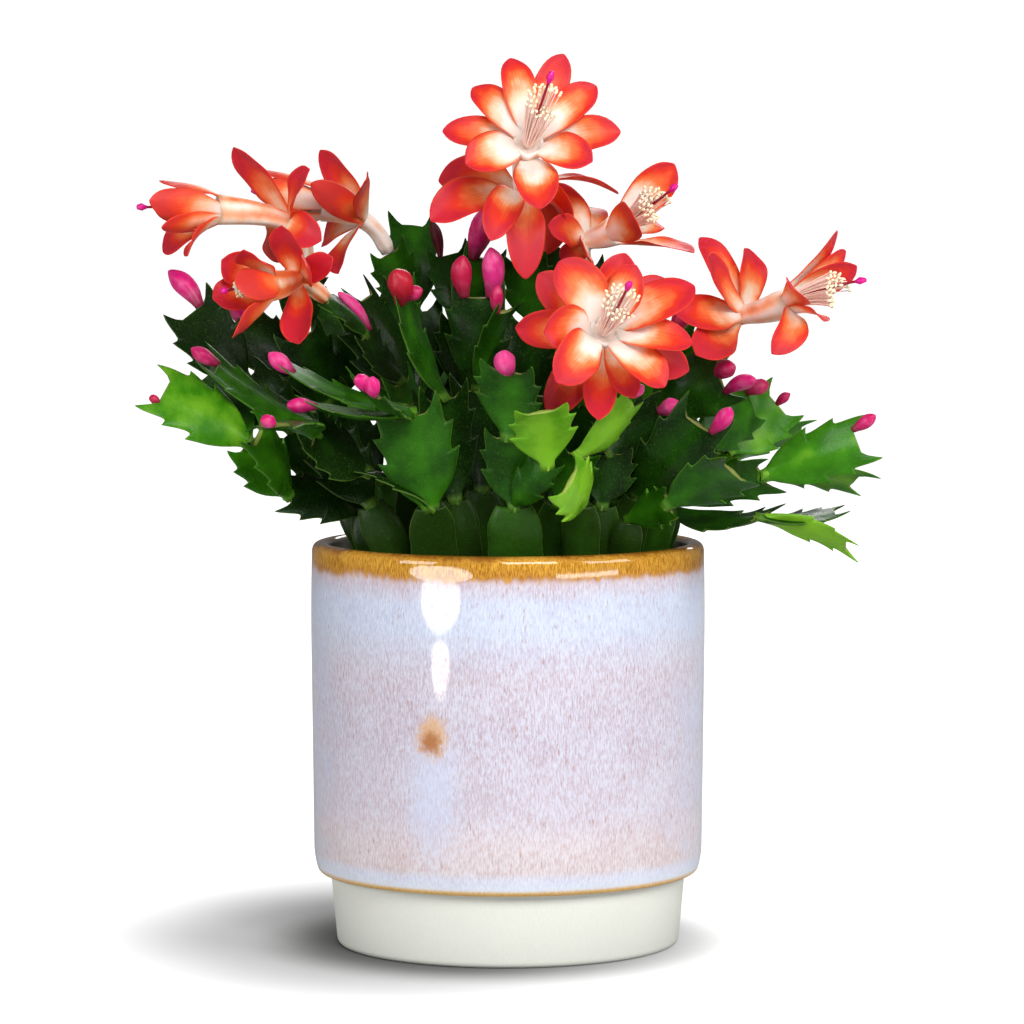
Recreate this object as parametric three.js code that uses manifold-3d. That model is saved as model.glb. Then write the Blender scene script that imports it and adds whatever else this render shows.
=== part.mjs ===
// A Christmas cactus in bloom, in a plastic growing pot that stands in a glazed ceramic cover pot.
// Millimetres, +Z up. The origin is the centre of the cover pot's flat foot, and -Y is the front.
import * as THREE from "three";
import { mergeVertices } from "three/addons/utils/BufferGeometryUtils.js";
import Module from "manifold-3d";

const wasm = await Module();
wasm.setup();

// Driving sizes of the pots and the soil
const GAP = 0.3;
const POT_HEIGHT = 140;
const POT_RADIUS = 67.5;
const POT_INSIDE = 62;
const POT_FLOOR = 8;
const FOOT_RADIUS = 60;
const FOOT_HEIGHT = 25;
const FOOT_INSIDE = 54;
const LINER_TOP = 131;
const LINER_TOP_RADIUS = 57.5;
const LINER_FOOT_RADIUS = 48;
const LINER_WALL = 1.2;
const LINER_RIM = 3;
const DRAIN_HOLES = 6;
const DRAIN_RADIUS = 4;
const DRAIN_RING = 30;
const SOIL_TOP = 126;
const STEM_RADIUS = 2.4;
const STEM_DEPTH = 12;
const STEM_SHOWS = 4;
const STEM_GAP = 1.5 * GAP;
const STEM_SIDES = 4;

// Driving sizes of the plant
const PAD_THICK = 3.4;
const PAD_EDGE = 2;
const JOINT_SINK = 2.2;
const PETAL_THICK = 1.3;
const PETAL_EDGE = 1;
const BOW = 0.07;
const PAD_TROUGH = 0.05;
const PAD_REACH = 1.1;
const PAD_END = 0.97;
const BUD_SEAT = 0.95;
const BUD_ASIDE = 0.42;
const PETAL_CUP = 0.12;
const PETAL_SINK = 1.5;
const PETAL_ARCH = 0.45;
const WIDEST_AT = 0.6;
const NARROWEST = 0.5;
const TUBE_RADII = [2.9, 2.7, 2.9, 3.5, 4.4];
const TUBE_FOOT = 3;
const TUBE_PULL = 0.4;
const COLLAR_RADIUS = 1.8;
const STAMEN_COUNT = 4;
const KEPT_CLEAR = 1.2;

// The finish of each kind of piece
const FINISH = {
  glaze: { color: "#c9bcd0", roughness: 0.22, metalness: 0 },
  plastic: { color: "#1c1d1c", roughness: 0.6, metalness: 0 },
  soil: { color: "#2e2118", roughness: 0.95, metalness: 0 },
  pad: { color: "#2c6b1e", roughness: 0.4, metalness: 0 },
  petal: { color: "#ee4a2e", roughness: 0.5, metalness: 0 },
  stamen: { color: "#f6e8bd", roughness: 0.6, metalness: 0 },
};

// Vectors are arrays of three numbers
const add = (a, b, k = 1) => [a[0] + b[0] * k, a[1] + b[1] * k, a[2] + b[2] * k];
const dot = (a, b) => a[0] * b[0] + a[1] * b[1] + a[2] * b[2];
const size = (a) => Math.sqrt(dot(a, a));
const scaled = (a, k) => [a[0] * k, a[1] * k, a[2] * k];
const unit = (a) => scaled(a, 1 / size(a));
const mix = (a, b, t) => add(scaled(a, 1 - t), b, t);
const radians = (degrees) => (degrees * Math.PI) / 180;
const cross = (a, b) => [
  a[1] * b[2] - a[2] * b[1],
  a[2] * b[0] - a[0] * b[2],
  a[0] * b[1] - a[1] * b[0],
];

// What is left of a direction once its share along an axis is taken out
const squared = (a, axis) => unit(add(a, axis, -dot(a, axis)));

// An even scatter from -1 to 1, the same for the same whole number
function scatter(k) {
  const share = k * 0.6180339887498949 + 0.37;
  return 2 * (share - Math.floor(share)) - 1;
}

// A solid from its points and triangles
function solid(points, triangles) {
  const mesh = new wasm.Mesh({
    numProp: 3,
    vertProperties: new Float32Array(points.flat()),
    triVerts: new Uint32Array(triangles.flat()),
  });
  return new wasm.Manifold(mesh);
}

// A solid from a closed three.js geometry
function solidOf(geometry) {
  const plain = geometry.clone();
  plain.deleteAttribute("normal");
  plain.deleteAttribute("uv");
  const merged = mergeVertices(plain, 1e-4);
  const mesh = new wasm.Mesh({
    numProp: 3,
    vertProperties: merged.attributes.position.array,
    triVerts: new Uint32Array(merged.index.array),
  });
  return new wasm.Manifold(mesh);
}

const joined = (pieces) => pieces.reduce((whole, piece) => whole.add(piece));

// A round solid about +Z, from [radius, height] points that start and end on the axis
function turned(profile, sides) {
  const points = profile.map(([r, z]) => new THREE.Vector2(r, z));
  return solidOf(new THREE.LatheGeometry(points, sides).rotateX(Math.PI / 2));
}

// A blade has a rim of [across, along, sharp] points and spine points inside it, and both its
// faces have the same triangles. place(across, along) gives a point and the way its face looks.
function blade(outline, place, edge, thick) {
  const points = [];
  const above = [];
  const below = [];
  const { rim, spine, faces } = outline;
  [...rim, ...spine].forEach(([across, along, sharp], i) => {
    const half = (i < rim.length ? edge : thick) / 2;
    const { point, face } = place(across, along);
    above.push(points.length);
    points.push(sharp ? point : add(point, face, half));
    if (!sharp) points.push(add(point, face, -half));
    below.push(points.length - 1);
  });
  const triangles = faces.flatMap(([a, b, c]) => [
    [above[a], above[b], above[c]],
    [below[a], below[c], below[b]],
  ]);
  rim.forEach((_, i) => {
    const j = (i + 1) % rim.length;
    if (above[i] !== below[i]) triangles.push([above[i], below[i], below[j]]);
    if (above[j] !== below[j]) triangles.push([above[i], below[j], above[j]]);
  });
  return solid(points, triangles);
}

// A blade's outline from its right side, its end point or a cut-off end, two spine points and
// the triangles of its right half, where low and high are the spine points
function bladeOutline(side, end, spine, half) {
  const left = side.map(([across, along, sharp]) => [-across, along, sharp]).reverse();
  const rim = end ? [...side, end, ...left] : [...side, ...left];
  const last = rim.length - 1;
  const name = { low: rim.length, high: rim.length + 1 };
  const right = half.map((face) => face.map((k) => name[k] ?? k));
  const mirror = right.map((face) => face.map((k) => (k > last ? k : last - k)).reverse());
  const across = end ? [] : [[side.length - 1, side.length, name.high]];
  return { rim, spine, faces: [...right, ...mirror, [last, 0, name.low], ...across] };
}

// A solid of rings along a line, each { at, radius } and square to the line, or to along where
// it has one, that ends flat or in a point
function tube(rings, sides, point = 0) {
  const points = [];
  const triangles = [];
  let across = null;
  rings.forEach(({ at, radius }, i) => {
    const before = rings[Math.max(0, i - 1)].at;
    const after = rings[Math.min(rings.length - 1, i + 1)].at;
    const along = rings[i].along ?? unit(add(after, before, -1));
    across = squared(across ?? (Math.abs(along[0]) < 0.9 ? [1, 0, 0] : [0, 1, 0]), along);
    const third = cross(along, across);
    for (let k = 0; k < sides; k++) {
      const angle = (2 * Math.PI * k) / sides;
      const out = add(scaled(across, Math.cos(angle)), third, Math.sin(angle));
      points.push(add(at, out, radius));
    }
  });
  for (let i = 0; i + 1 < rings.length; i++) {
    for (let k = 0; k < sides; k++) {
      const a = i * sides + k;
      const b = i * sides + ((k + 1) % sides);
      triangles.push([a, b, b + sides], [a, b + sides, a + sides]);
    }
  }
  const end = rings.at(-1).at;
  const onwards = unit(add(end, rings.at(-2).at, -1));
  const last = (rings.length - 1) * sides;
  const first = points.push(rings[0].at) - 1;
  const tip = points.push(add(end, onwards, point)) - 1;
  for (let k = 0; k < sides; k++) {
    const next = (k + 1) % sides;
    triangles.push([first, next, k], [tip, last + k, last + next]);
  }
  return solid(points, triangles);
}

// A pad is one flat joint of a stem: neck, shoulder, two teeth a side and a horn each side of
// its cut-off end. The joints next to the soil are plainer.
const PAD_OUTLINE = bladeOutline(
  [
    [0.24, 0, false],
    [0.64, 0.2, true],
    [0.96, 0.5, true],
    [0.84, 0.53, true],
    [1, 0.79, true],
    [0.84, 0.82, true],
    [0.8, 1.07, true],
    [0.44, 0.96, true],
  ],
  null,
  [
    [0, 0.3],
    [0, 0.68],
  ],
  [
    [0, 1, "low"],
    [1, 2, "low"],
    [2, 3, "low"],
    ["low", 3, "high"],
    [3, 4, "high"],
    [4, 5, "high"],
    [5, 6, "high"],
    [6, 7, "high"],
  ],
);
const STEM_OUTLINE = bladeOutline(
  [
    [0.36, 0, false],
    [0.95, 0.34, true],
    [0.9, 0.76, true],
    [0.56, 0.98, true],
  ],
  null,
  [
    [0, 0.3],
    [0, 0.7],
  ],
  [
    [0, 1, "low"],
    [1, 2, "low"],
    ["low", 2, "high"],
    [2, 3, "high"],
  ],
);
const PETAL_OUTLINE = bladeOutline(
  [
    [0.2, 0, false],
    [0.74, 0.38, true],
    [0.9, 0.76, true],
  ],
  [0, 1, true],
  [
    [0, 0.36],
    [0, 0.68],
  ],
  [
    [0, 1, "low"],
    [1, 2, "high"],
    [1, "high", "low"],
    [2, 3, "high"],
  ],
);

// A pad from its two ends, its width, and its turn about its own length from facing forwards
function makePad(base, tip, width, turn, bow, forward, stem) {
  const along = unit(add(tip, base, -1));
  const flat = squared(forward, along);
  const aside = cross(along, flat);
  const face = add(scaled(flat, Math.cos(radians(turn))), aside, Math.sin(radians(turn)));
  const length = size(add(tip, base, -1));
  return { base, tip, along, face, across: cross(along, face), width, length, bow, stem };
}

// The point of a pad at a share of its half width and of its length
function padPoint(pad, u, v) {
  const middle = add(pad.base, pad.along, v * pad.length);
  const arch = 4 * v * (1 - v) * pad.bow * pad.length;
  const trough = -PAD_TROUGH * u * u * pad.width * Math.sign(pad.bow);
  return add(add(middle, pad.across, (u * pad.width) / 2), pad.face, arch + trough);
}

function padSolid(pad) {
  const sink = pad.stem ? 0 : JOINT_SINK / pad.length;
  const place = (u, v) => ({ point: padPoint(pad, u, v > 0 ? v : -sink), face: pad.face });
  return blade(pad.stem ? STEM_OUTLINE : PAD_OUTLINE, place, PAD_EDGE, PAD_THICK);
}

// A bud stands on its pad's cut-off end and swells towards its point
function makeBud(pad, tip, radius) {
  const end = padPoint(pad, 0, PAD_END);
  const aside = (2 * dot(add(tip, end, -1), pad.across)) / pad.width;
  const base = padPoint(pad, Math.min(BUD_ASIDE, Math.max(-BUD_ASIDE, aside)), BUD_SEAT);
  return { base, tip, radius };
}

function budSolid(bud) {
  const at = (t) => mix(bud.base, bud.tip, t);
  const rings = [
    { at: at(0), radius: bud.radius * 0.6 },
    { at: at(0.5), radius: bud.radius },
  ];
  return tube(rings, 5, size(add(bud.tip, bud.base, -1)) * 0.5);
}

// What a placed piece must clear is a flat or a round body, and what feels for it is a list of
// points with a radius
const PAD_FEELERS = [0, 0.15, 0.3, 0.45, 0.6, 0.75, 0.9, 1, PAD_REACH].flatMap((v) => {
  const half = reach(v);
  return [-half, -half / 2, 0, half / 2, half].map((u) => [u, v]);
});

// How far out a pad reaches at a share of its length
function reach(v) {
  return v < 0.42 ? 0.24 + 1.8 * Math.max(0, v) : 1;
}

function padBody(pad) {
  const feelers = PAD_FEELERS.map(([u, v]) => [padPoint(pad, u, v), u === 0 ? 1.7 : 1]);
  const centre = padPoint(pad, 0, 0.55);
  return { flat: pad, feelers, centre, radius: 0.75 * Math.max(pad.length, pad.width) };
}

function roundBody(from, to, radius) {
  const long = size(add(to, from, -1));
  const steps = Math.max(1, Math.ceil(long / 4));
  const feelers = [];
  for (let i = 0; i <= steps; i++) feelers.push([mix(from, to, i / steps), radius]);
  return { from, to, thick: radius, feelers, centre: mix(from, to, 0.5), radius: long / 2 + radius };
}

function touches(point, radius, body) {
  if (body.flat) {
    const pad = body.flat;
    const out = add(point, pad.base, -1);
    const v = dot(out, pad.along) / pad.length;
    const margin = radius + KEPT_CLEAR;
    if (v < -margin / pad.length || v > PAD_REACH + margin / pad.length) return false;
    const u = (2 * dot(out, pad.across)) / pad.width;
    if (Math.abs(u) > reach(v) + (2 * margin) / pad.width) return false;
    const arch = 4 * v * (1 - v) * pad.bow * pad.length;
    const trough = -PAD_TROUGH * u * u * pad.width * Math.sign(pad.bow);
    const half = pad.thick ?? PAD_THICK / 2;
    return Math.abs(dot(out, pad.face) - arch - trough) < half + margin;
  }
  const line = add(body.to, body.from, -1);
  const t = Math.min(1, Math.max(0, dot(add(point, body.from, -1), line) / dot(line, line)));
  return size(add(point, add(body.from, line, t), -1)) < body.thick + radius + KEPT_CLEAR;
}

// Whether a point comes too near the cover pot, the growing pot or the soil
function touchesPot(point, radius) {
  const out = Math.hypot(point[0], point[1]);
  const margin = radius + KEPT_CLEAR / 2;
  const overRim = out > POT_INSIDE - margin && out < POT_RADIUS + margin;
  if (overRim && point[2] < POT_HEIGHT + margin) return true;
  const overLiner = out > LINER_TOP_RADIUS - LINER_RIM - margin && out < LINER_TOP_RADIUS + margin;
  if (overLiner && point[2] < LINER_TOP + margin) return true;
  return out < LINER_TOP_RADIUS && point[2] < SOIL_TOP + margin;
}

function bodiesTouch(one, two) {
  if (size(add(one.centre, two.centre, -1)) > one.radius + two.radius + KEPT_CLEAR) return false;
  if (one.feelers.some(([point, radius]) => touches(point, radius, two))) return true;
  return two.feelers.some(([point, radius]) => touches(point, radius, one));
}

const isClear = (body, others) => !others.some((other) => bodiesTouch(body, other));

// The shoots that carry blooms stay as drawn. root is [x, y] at the soil. Each pad is
// [the pad it grows from, x, y, z of its end, width, turn], counted from 1 and with 0 for the
// root, and each bud is [its pad, x, y, z of its point, radius].
const BLOOMING_SHOOTS = {
  shoot_top_left: {
    root: [-24, 24],
    pads: [
      [0, -25, 26, 162, 16, 0],
      [1, -29, 22, 191, 24, 10],
      [2, -33, 20, 220, 24, -10],
      [3, -42, 16, 240, 18, 20],
      [3, -34, 32, 250, 20, 20],
    ],
    buds: [],
  },
  shoot_left_back: {
    root: [-38, 6],
    pads: [
      [0, -46, 8, 160, 16, 0],
      [1, -64, 8, 188, 24, 0],
      [2, -93, 10, 215, 22, 10],
      [2, -72, 0, 212, 22, 20],
      [4, -70, -6, 236, 18, 30],
      [2, -55, 20, 221, 26, 10],
    ],
    buds: [[3, -101, -2, 229, 4]],
  },
  shoot_left_edge: {
    root: [-30, -10],
    pads: [
      [0, -32, -14, 166, 16, 20],
      [1, -37, -20, 197, 20, 50],
      [2, -49, -24, 213, 18, 50],
      [3, -62, -30, 225, 16, 60],
    ],
    buds: [[3, -59, -20, 228, 3]],
  },
  shoot_top_right: {
    root: [4, 0],
    pads: [
      [0, 6, 2, 163, 16, 0],
      [1, 8, 0, 192, 22, 0],
      [2, 8, -4, 217, 20, 0],
      [3, 6, -14, 238, 18, 0],
      [3, 17, 8, 243, 18, 30],
    ],
    buds: [],
  },
  shoot_top_back: {
    root: [21, 12],
    pads: [
      [0, 22, 12, 160, 16, 0],
      [1, 25, 10, 188, 24, 0],
      [2, 29, 2, 213, 22, 0],
      [3, 26, -4, 236, 18, -20],
    ],
    buds: [],
  },
  shoot_mid_right: {
    root: [31, -12],
    pads: [
      [0, 36, -17, 156, 18, 0],
      [1, 42, -24, 181, 27, 0],
      [2, 38, -30, 206, 20, 0],
    ],
    buds: [],
  },
  shoot_right_high: {
    root: [25, -1],
    pads: [
      [0, 31, -4, 158, 16, 0],
      [1, 47, -10, 187, 26, 0],
      [2, 74, -24, 198, 24, 10],
      [2, 68, -8, 209, 22, 20],
      [2, 54, 2, 212, 18, -20],
    ],
    buds: [
      [3, 77, -38, 202, 3.8],
      [3, 85, -36, 198, 3.2],
      [5, 60, -6, 222, 3.6],
    ],
  },
};

// The other shoots that the front shows, each moved back, forwards or round until it is clear
const FRONT_SHOOTS = {
  shoot_left_low: {
    root: [-42, -20],
    pads: [
      [0, -49, -24, 153, 15, 0],
      [1, -75, -34, 159, 18, 20],
      [2, -88, -42, 177, 20, 10],
      [3, -117, -46, 195, 24, 25],
      [3, -106, -22, 197, 22, -10],
      [2, -84, -64, 181, 17, 40],
    ],
    buds: [[4, -121, -49, 192, 1.8]],
  },
  shoot_centre_left: {
    root: [-24, -42],
    pads: [
      [0, -26, -53, 156, 17, 0],
      [1, -33, -62, 188, 27, 5],
      [2, -46, -88, 197, 24, 65],
      [2, -65, -70, 191, 20, 70],
      [1, -48, -54, 168, 15, 75],
      [5, -65, -62, 181, 24, 35],
      [6, -77, -86, 185, 24, 80],
    ],
    buds: [
      [3, -50, -95, 201, 3],
      [3, -44, -95, 202, 3],
      [4, -74, -73, 191, 3],
      [7, -81, -92, 187, 2.6],
    ],
  },
  shoot_left_high: {
    root: [-41, -7],
    pads: [
      [0, -56, -13, 158, 15, 0],
      [1, -75, -12, 180, 22, 10],
      [2, -91, -8, 197, 22, 10],
      [3, -109, -6, 221, 24, 10],
    ],
    buds: [[4, -118, -6, 235, 4.3]],
  },
  shoot_left_mid: {
    root: [-34, -30],
    pads: [
      [0, -47, -36, 156, 15, 0],
      [1, -63, -38, 181, 22, 10],
      [2, -100, -42, 203, 18, 50],
    ],
    buds: [[3, -108, -46, 209, 3]],
  },
  shoot_left_bud: {
    root: [-22, -24],
    pads: [
      [0, -25, -30, 158, 16, 0],
      [1, -36, -34, 188, 22, 40],
      [2, -74, -40, 202, 18, 80],
    ],
    buds: [[3, -81, -44, 208, 3.4]],
  },
  shoot_shiny: {
    root: [-25, 11],
    pads: [
      [0, -27, 9, 160, 16, 0],
      [1, -33, -1, 190, 20, 30],
      [2, -50, -12, 226, 16, 40],
      [2, -50, 10, 223, 26, 0],
    ],
    buds: [],
  },
  shoot_bright: {
    root: [-15, -33],
    pads: [
      [0, -18, -40, 158, 16, 0],
      [1, -22, -45, 193, 22, 20],
      [2, -35, -50, 227, 20, 60],
    ],
    buds: [
      [3, -38, -62, 236, 5],
      [3, -28, -52, 229, 3],
    ],
  },
  shoot_top_mid: {
    root: [-12, 9],
    pads: [
      [0, -13, 10, 160, 16, 0],
      [1, -14, 10, 191, 24, 0],
      [2, -15, 8, 217, 22, 10],
      [3, -21, 10, 240, 18, 0],
      [3, -8, -2, 239, 18, 20],
    ],
    buds: [
      [4, -27, 8, 252, 2.4],
      [5, -5, -14, 258, 5],
    ],
  },
  shoot_centre_high: {
    root: [-8, -17],
    pads: [
      [0, -9, -24, 160, 17, 0],
      [1, -10, -31, 195, 24, 0],
      [2, -10, -37, 227, 22, 0],
      [2, -1, -48, 222, 12, 50],
    ],
    buds: [
      [3, -15, -40, 241, 4.2],
      [3, -6, -42, 244, 4.5],
      [4, -3, -52, 231, 2.6],
    ],
  },
  shoot_centre_front: {
    root: [3, -46],
    pads: [
      [0, 2, -57, 157, 20, 0],
      [1, 0, -64, 181, 19, 0],
      [2, 0, -68, 203, 23, 0],
      [1, 13, -70, 172, 13, 0],
      [4, 11, -85, 190, 22, 0],
    ],
    buds: [[3, -1, -77, 210, 4.2]],
  },
  shoot_front_stub: {
    root: [24, -43],
    pads: [
      [0, 25, -56, 157, 14, 0],
      [1, 20, -86, 167, 22, 0],
    ],
    buds: [],
  },
  shoot_twist: {
    root: [14, -35],
    pads: [
      [0, 17, -49, 157, 15, 0],
      [1, 24, -72, 174, 16, 20],
      [2, 42, -86, 192, 20, 65],
    ],
    buds: [[3, 46, -91, 197, 2.4]],
  },
  shoot_mid_front: {
    root: [27, -30],
    pads: [
      [0, 32, -41, 156, 16, 0],
      [1, 34, -54, 174, 20, 0],
      [2, 53, -68, 185, 22, 20],
    ],
    buds: [[3, 58, -73, 190, 3.6]],
  },
  shoot_big_bud: {
    root: [37, -20],
    pads: [
      [0, 44, -31, 158, 14, 0],
      [1, 65, -54, 185, 24, 20],
    ],
    buds: [[2, 75, -59, 190, 3.3]],
  },
  shoot_right_mid: {
    root: [37, -7],
    pads: [
      [0, 48, -10, 157, 13, 0],
      [1, 64, -13, 176, 22, 0],
      [2, 85, -13, 188, 22, 10],
    ],
    buds: [[3, 91, -15, 195, 3.2]],
  },
  shoot_right_light: {
    root: [45, 8],
    pads: [
      [0, 56, 4, 158, 15, 0],
      [1, 77, 0, 172, 20, 10],
      [2, 95, 0, 187, 22, 10],
    ],
    buds: [[3, 99, -1, 191, 2]],
  },
  shoot_right_edge: {
    root: [42, 20],
    pads: [
      [0, 55, 18, 156, 15, 0],
      [1, 80, 18, 168, 18, 20],
      [2, 104, 16, 177, 16, 70],
    ],
    buds: [],
  },
  shoot_right: {
    root: [46, -17],
    pads: [
      [0, 54, -23, 156, 12, 0],
      [1, 87, -43, 166, 18, 40],
      [2, 119, -46, 178, 20, 0],
      [2, 119, -30, 163, 20, 75],
    ],
    buds: [[3, 124, -49, 187, 2.6]],
  },
  shoot_bright_right: {
    root: [38, -31],
    pads: [
      [0, 41, -42, 151, 12, 0],
      [1, 54, -66, 158, 14, 20],
      [2, 75, -86, 170, 20, 45],
    ],
    buds: [],
  },
  shoot_right_low: {
    root: [49, -4],
    pads: [
      [0, 57, -9, 151, 11, 20],
      [1, 86, -44, 151, 18, 80],
      [2, 115, -54, 141, 15, 70],
      [2, 113, -36, 156, 18, 75],
    ],
    buds: [],
  },
};

// Each bloom sits on the end of a pad, with its throat looking along its axis. A whorl of petals
// has the place of each tip, the petals' greatest width, and the angle from the axis at which
// they leave. The upper whorl leaves the throat, and the lower one the tube, at a share of it.
const BLOOMS = {
  bloom_top: {
    on: ["shoot_top_right", 4],
    throat: [7, -42, 278],
    axis: [0.1, -0.88, 0.34],
    style: [14, -66, 299],
    upper: {
      width: 15,
      leave: 30,
      tips: [
        [1, -38, 307],
        [19, -36, 308],
        [30, -38, 297],
        [38, -44, 282],
        [28, -56, 272],
        [11, -60, 256],
        [-14, -54, 271],
        [-22, -44, 282],
        [-12, -40, 297],
      ],
    },
    lower: {
      at: 0.5,
      width: 14,
      leave: 55,
      tips: [
        [-26, -24, 264],
        [-21, -38, 257],
        [-5, -46, 241],
        [5, -36, 234],
        [12, -8, 243],
        [25, -20, 254],
        [33, -18, 261],
      ],
    },
  },
  bloom_front: {
    on: ["shoot_mid_right", 3],
    throat: [32, -76, 216],
    axis: [0.15, -0.9, 0.3],
    style: [39, -103, 231],
    upper: {
      width: 15,
      leave: 30,
      tips: [
        [17, -76, 239],
        [42, -84, 237],
        [62, -74, 231],
        [61, -80, 212],
        [52, -86, 198],
        [16, -94, 200],
        [12, -92, 216],
      ],
    },
    lower: {
      at: 0.6,
      width: 14,
      leave: 50,
      tips: [
        [3, -64, 216],
        [10, -58, 234],
        [39, -62, 241],
        [54, -50, 232],
        [60, -66, 202],
        [41, -78, 195],
        [30, -76, 187],
        [14, -66, 188],
      ],
    },
  },
  bloom_high_right: {
    on: ["shoot_top_back", 4],
    throat: [37, -20, 248],
    axis: [0.65, -0.5, 0.45],
    style: [55, -39, 262],
    upper: {
      width: 14,
      leave: 30,
      tips: [
        [57, -20, 270],
        [52, -4, 268],
        [51, 2, 253],
        [63, -34, 242],
        [43, -44, 253],
      ],
    },
    lower: {
      at: 0.5,
      width: 11,
      leave: 60,
      tips: [
        [12, -8, 264],
        [20, 14, 257],
        [15, -30, 250],
        [28, -34, 240],
        [18, -12, 238],
      ],
    },
  },
  bloom_right: {
    on: ["shoot_right_high", 4],
    throat: [95, -34, 224],
    axis: [0.87, -0.3, 0.4],
    style: [118, -45, 231],
    upper: {
      width: 11,
      leave: 20,
      tips: [
        [112, -30, 248],
        [116, -22, 241],
        [118, -34, 236],
        [107, -52, 219],
        [95, -58, 230],
        [89, -50, 207],
      ],
    },
    lower: {
      at: 0.5,
      width: 14,
      leave: 70,
      tips: [
        [66, -22, 246],
        [68, -46, 239],
        [84, -10, 242],
        [57, -44, 221],
        [64, -50, 207],
      ],
    },
  },
  bloom_left: {
    on: ["shoot_left_back", 5],
    throat: [-99, -26, 255],
    axis: [-0.93, -0.25, 0.08],
    style: [-123, -34, 256],
    upper: {
      width: 11,
      leave: 30,
      tips: [
        [-118, -31, 264],
        [-121, -41, 258],
        [-117, -42, 250],
        [-116, -30, 248],
        [-120, -25, 256],
        [-119, -14, 241],
        [-108, -46, 240],
      ],
    },
    lower: {
      at: 0.45,
      width: 13,
      leave: 50,
      tips: [
        [-94, -20, 275],
        [-68, -30, 269],
        [-64, -32, 245],
        [-78, 10, 238],
      ],
    },
  },
  bloom_left_low: {
    on: ["shoot_left_edge", 4],
    throat: [-80, -58, 230],
    axis: [-0.68, -0.7, -0.02],
    style: [-93, -75, 229],
    upper: {
      width: 13,
      leave: 32,
      tips: [
        [-91, -80, 216],
        [-90, -80, 231],
        [-88, -72, 241],
        [-95, -63, 238],
        [-98, -61, 226],
      ],
    },
    lower: {
      at: 0.5,
      width: 12,
      leave: 55,
      tips: [
        [-76, -54, 249],
        [-59, -54, 239],
        [-70, -58, 211],
        [-68, -68, 236],
      ],
    },
  },
  bloom_left_high: {
    on: ["shoot_top_left", 4],
    throat: [-64, 10, 256],
    axis: [-0.95, 0.05, 0.2],
    style: [-87, 11, 261],
    upper: {
      width: 10,
      leave: 28,
      tips: [
        [-86, 12, 268],
        [-88, 5, 262],
        [-87, 7, 255],
        [-86, 16, 255],
        [-87, 18, 263],
      ],
    },
    lower: {
      at: 0.5,
      width: 13,
      leave: 60,
      tips: [
        [-66, 20, 275],
        [-50, -12, 266],
        [-68, -9, 264],
        [-59, -4, 233],
        [-66, 30, 244],
      ],
    },
  },
};

// A pad is first tried as drawn, then with its end this far back and this much more turn
const FRONT_TRIES = [0, 3, -3, 6, -6, 9, -9, 12, -12, 16, -16, 20, -20].flatMap((back) =>
  [0, 20, -20].map((turn) => [back, turn]),
);
FRONT_TRIES.sort((a, b) => Math.abs(a[0]) + Math.abs(a[1]) / 4 - Math.abs(b[0]) - Math.abs(b[1]) / 4);

// The shoots at the back grow by rule, and a pad is tried this far round and this much flatter
const BACK_ROOTS = [
  [46, 46],
  [60, 34],
  [76, 47],
  [92, 35],
  [108, 47],
  [128, 45],
  [148, 47],
];
const BACK_LEAN = 9;
const BACK_PADS = [
  [0, 0, 84, 30, 16],
  [1, 0, 68, 32, 24],
  [2, 26, 52, 32, 24],
  [2, -26, 46, 30, 22],
];
const BACK_TRIES = [0, 14, -14, 28, -28, 42, -42].flatMap((round) => [0, -14, 14].map((dip) => [round, dip]));
const FORWARD = [0, -1, 0.25];

const placed = [];

function budBody(bud) {
  return roundBody(bud.base, add(bud.tip, add(bud.tip, bud.base, -1), 0.1), bud.radius);
}

function padIsClear(pad) {
  const body = padBody(pad);
  const low = pad.stem ? 0.3 : -1;
  const feelers = body.feelers.filter((_, i) => PAD_FEELERS[i][1] > low);
  return isClear(body, placed) && !feelers.some(([point, radius]) => touchesPot(point, radius));
}

// A shoot as its table draws it, with what isn't clear moved
function drawnShoot({ root, pads, buds }, order, tries) {
  const shoot = { root, pads: [], buds: [] };
  const shift = [0];
  pads.forEach(([from, x, y, z, width, turn], i) => {
    const base = from ? shoot.pads[from - 1].tip : [root[0], root[1], SOIL_TOP + 2];
    const bow = scatter(7 * order + i) > 0 ? BOW : -BOW;
    const made = tries.map(([back, more]) => {
      const tip = [x, y + shift[from] + back, z];
      return { back, pad: makePad(base, tip, width, turn + more, bow, FORWARD, from === 0) };
    });
    const chosen = made.find(({ pad }) => padIsClear(pad)) ?? made[0];
    shift.push(shift[from] + chosen.back);
    shoot.pads.push(chosen.pad);
  });
  buds.forEach(([from, x, y, z, radius]) => {
    const pad = shoot.pads[from - 1];
    const made = tries.map(([back]) => makeBud(pad, [x, y + shift[from] + back, z], radius));
    shoot.buds.push(made.find((bud) => isClear(budBody(bud), placed)) ?? made[0]);
  });
  return shoot;
}

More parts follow.
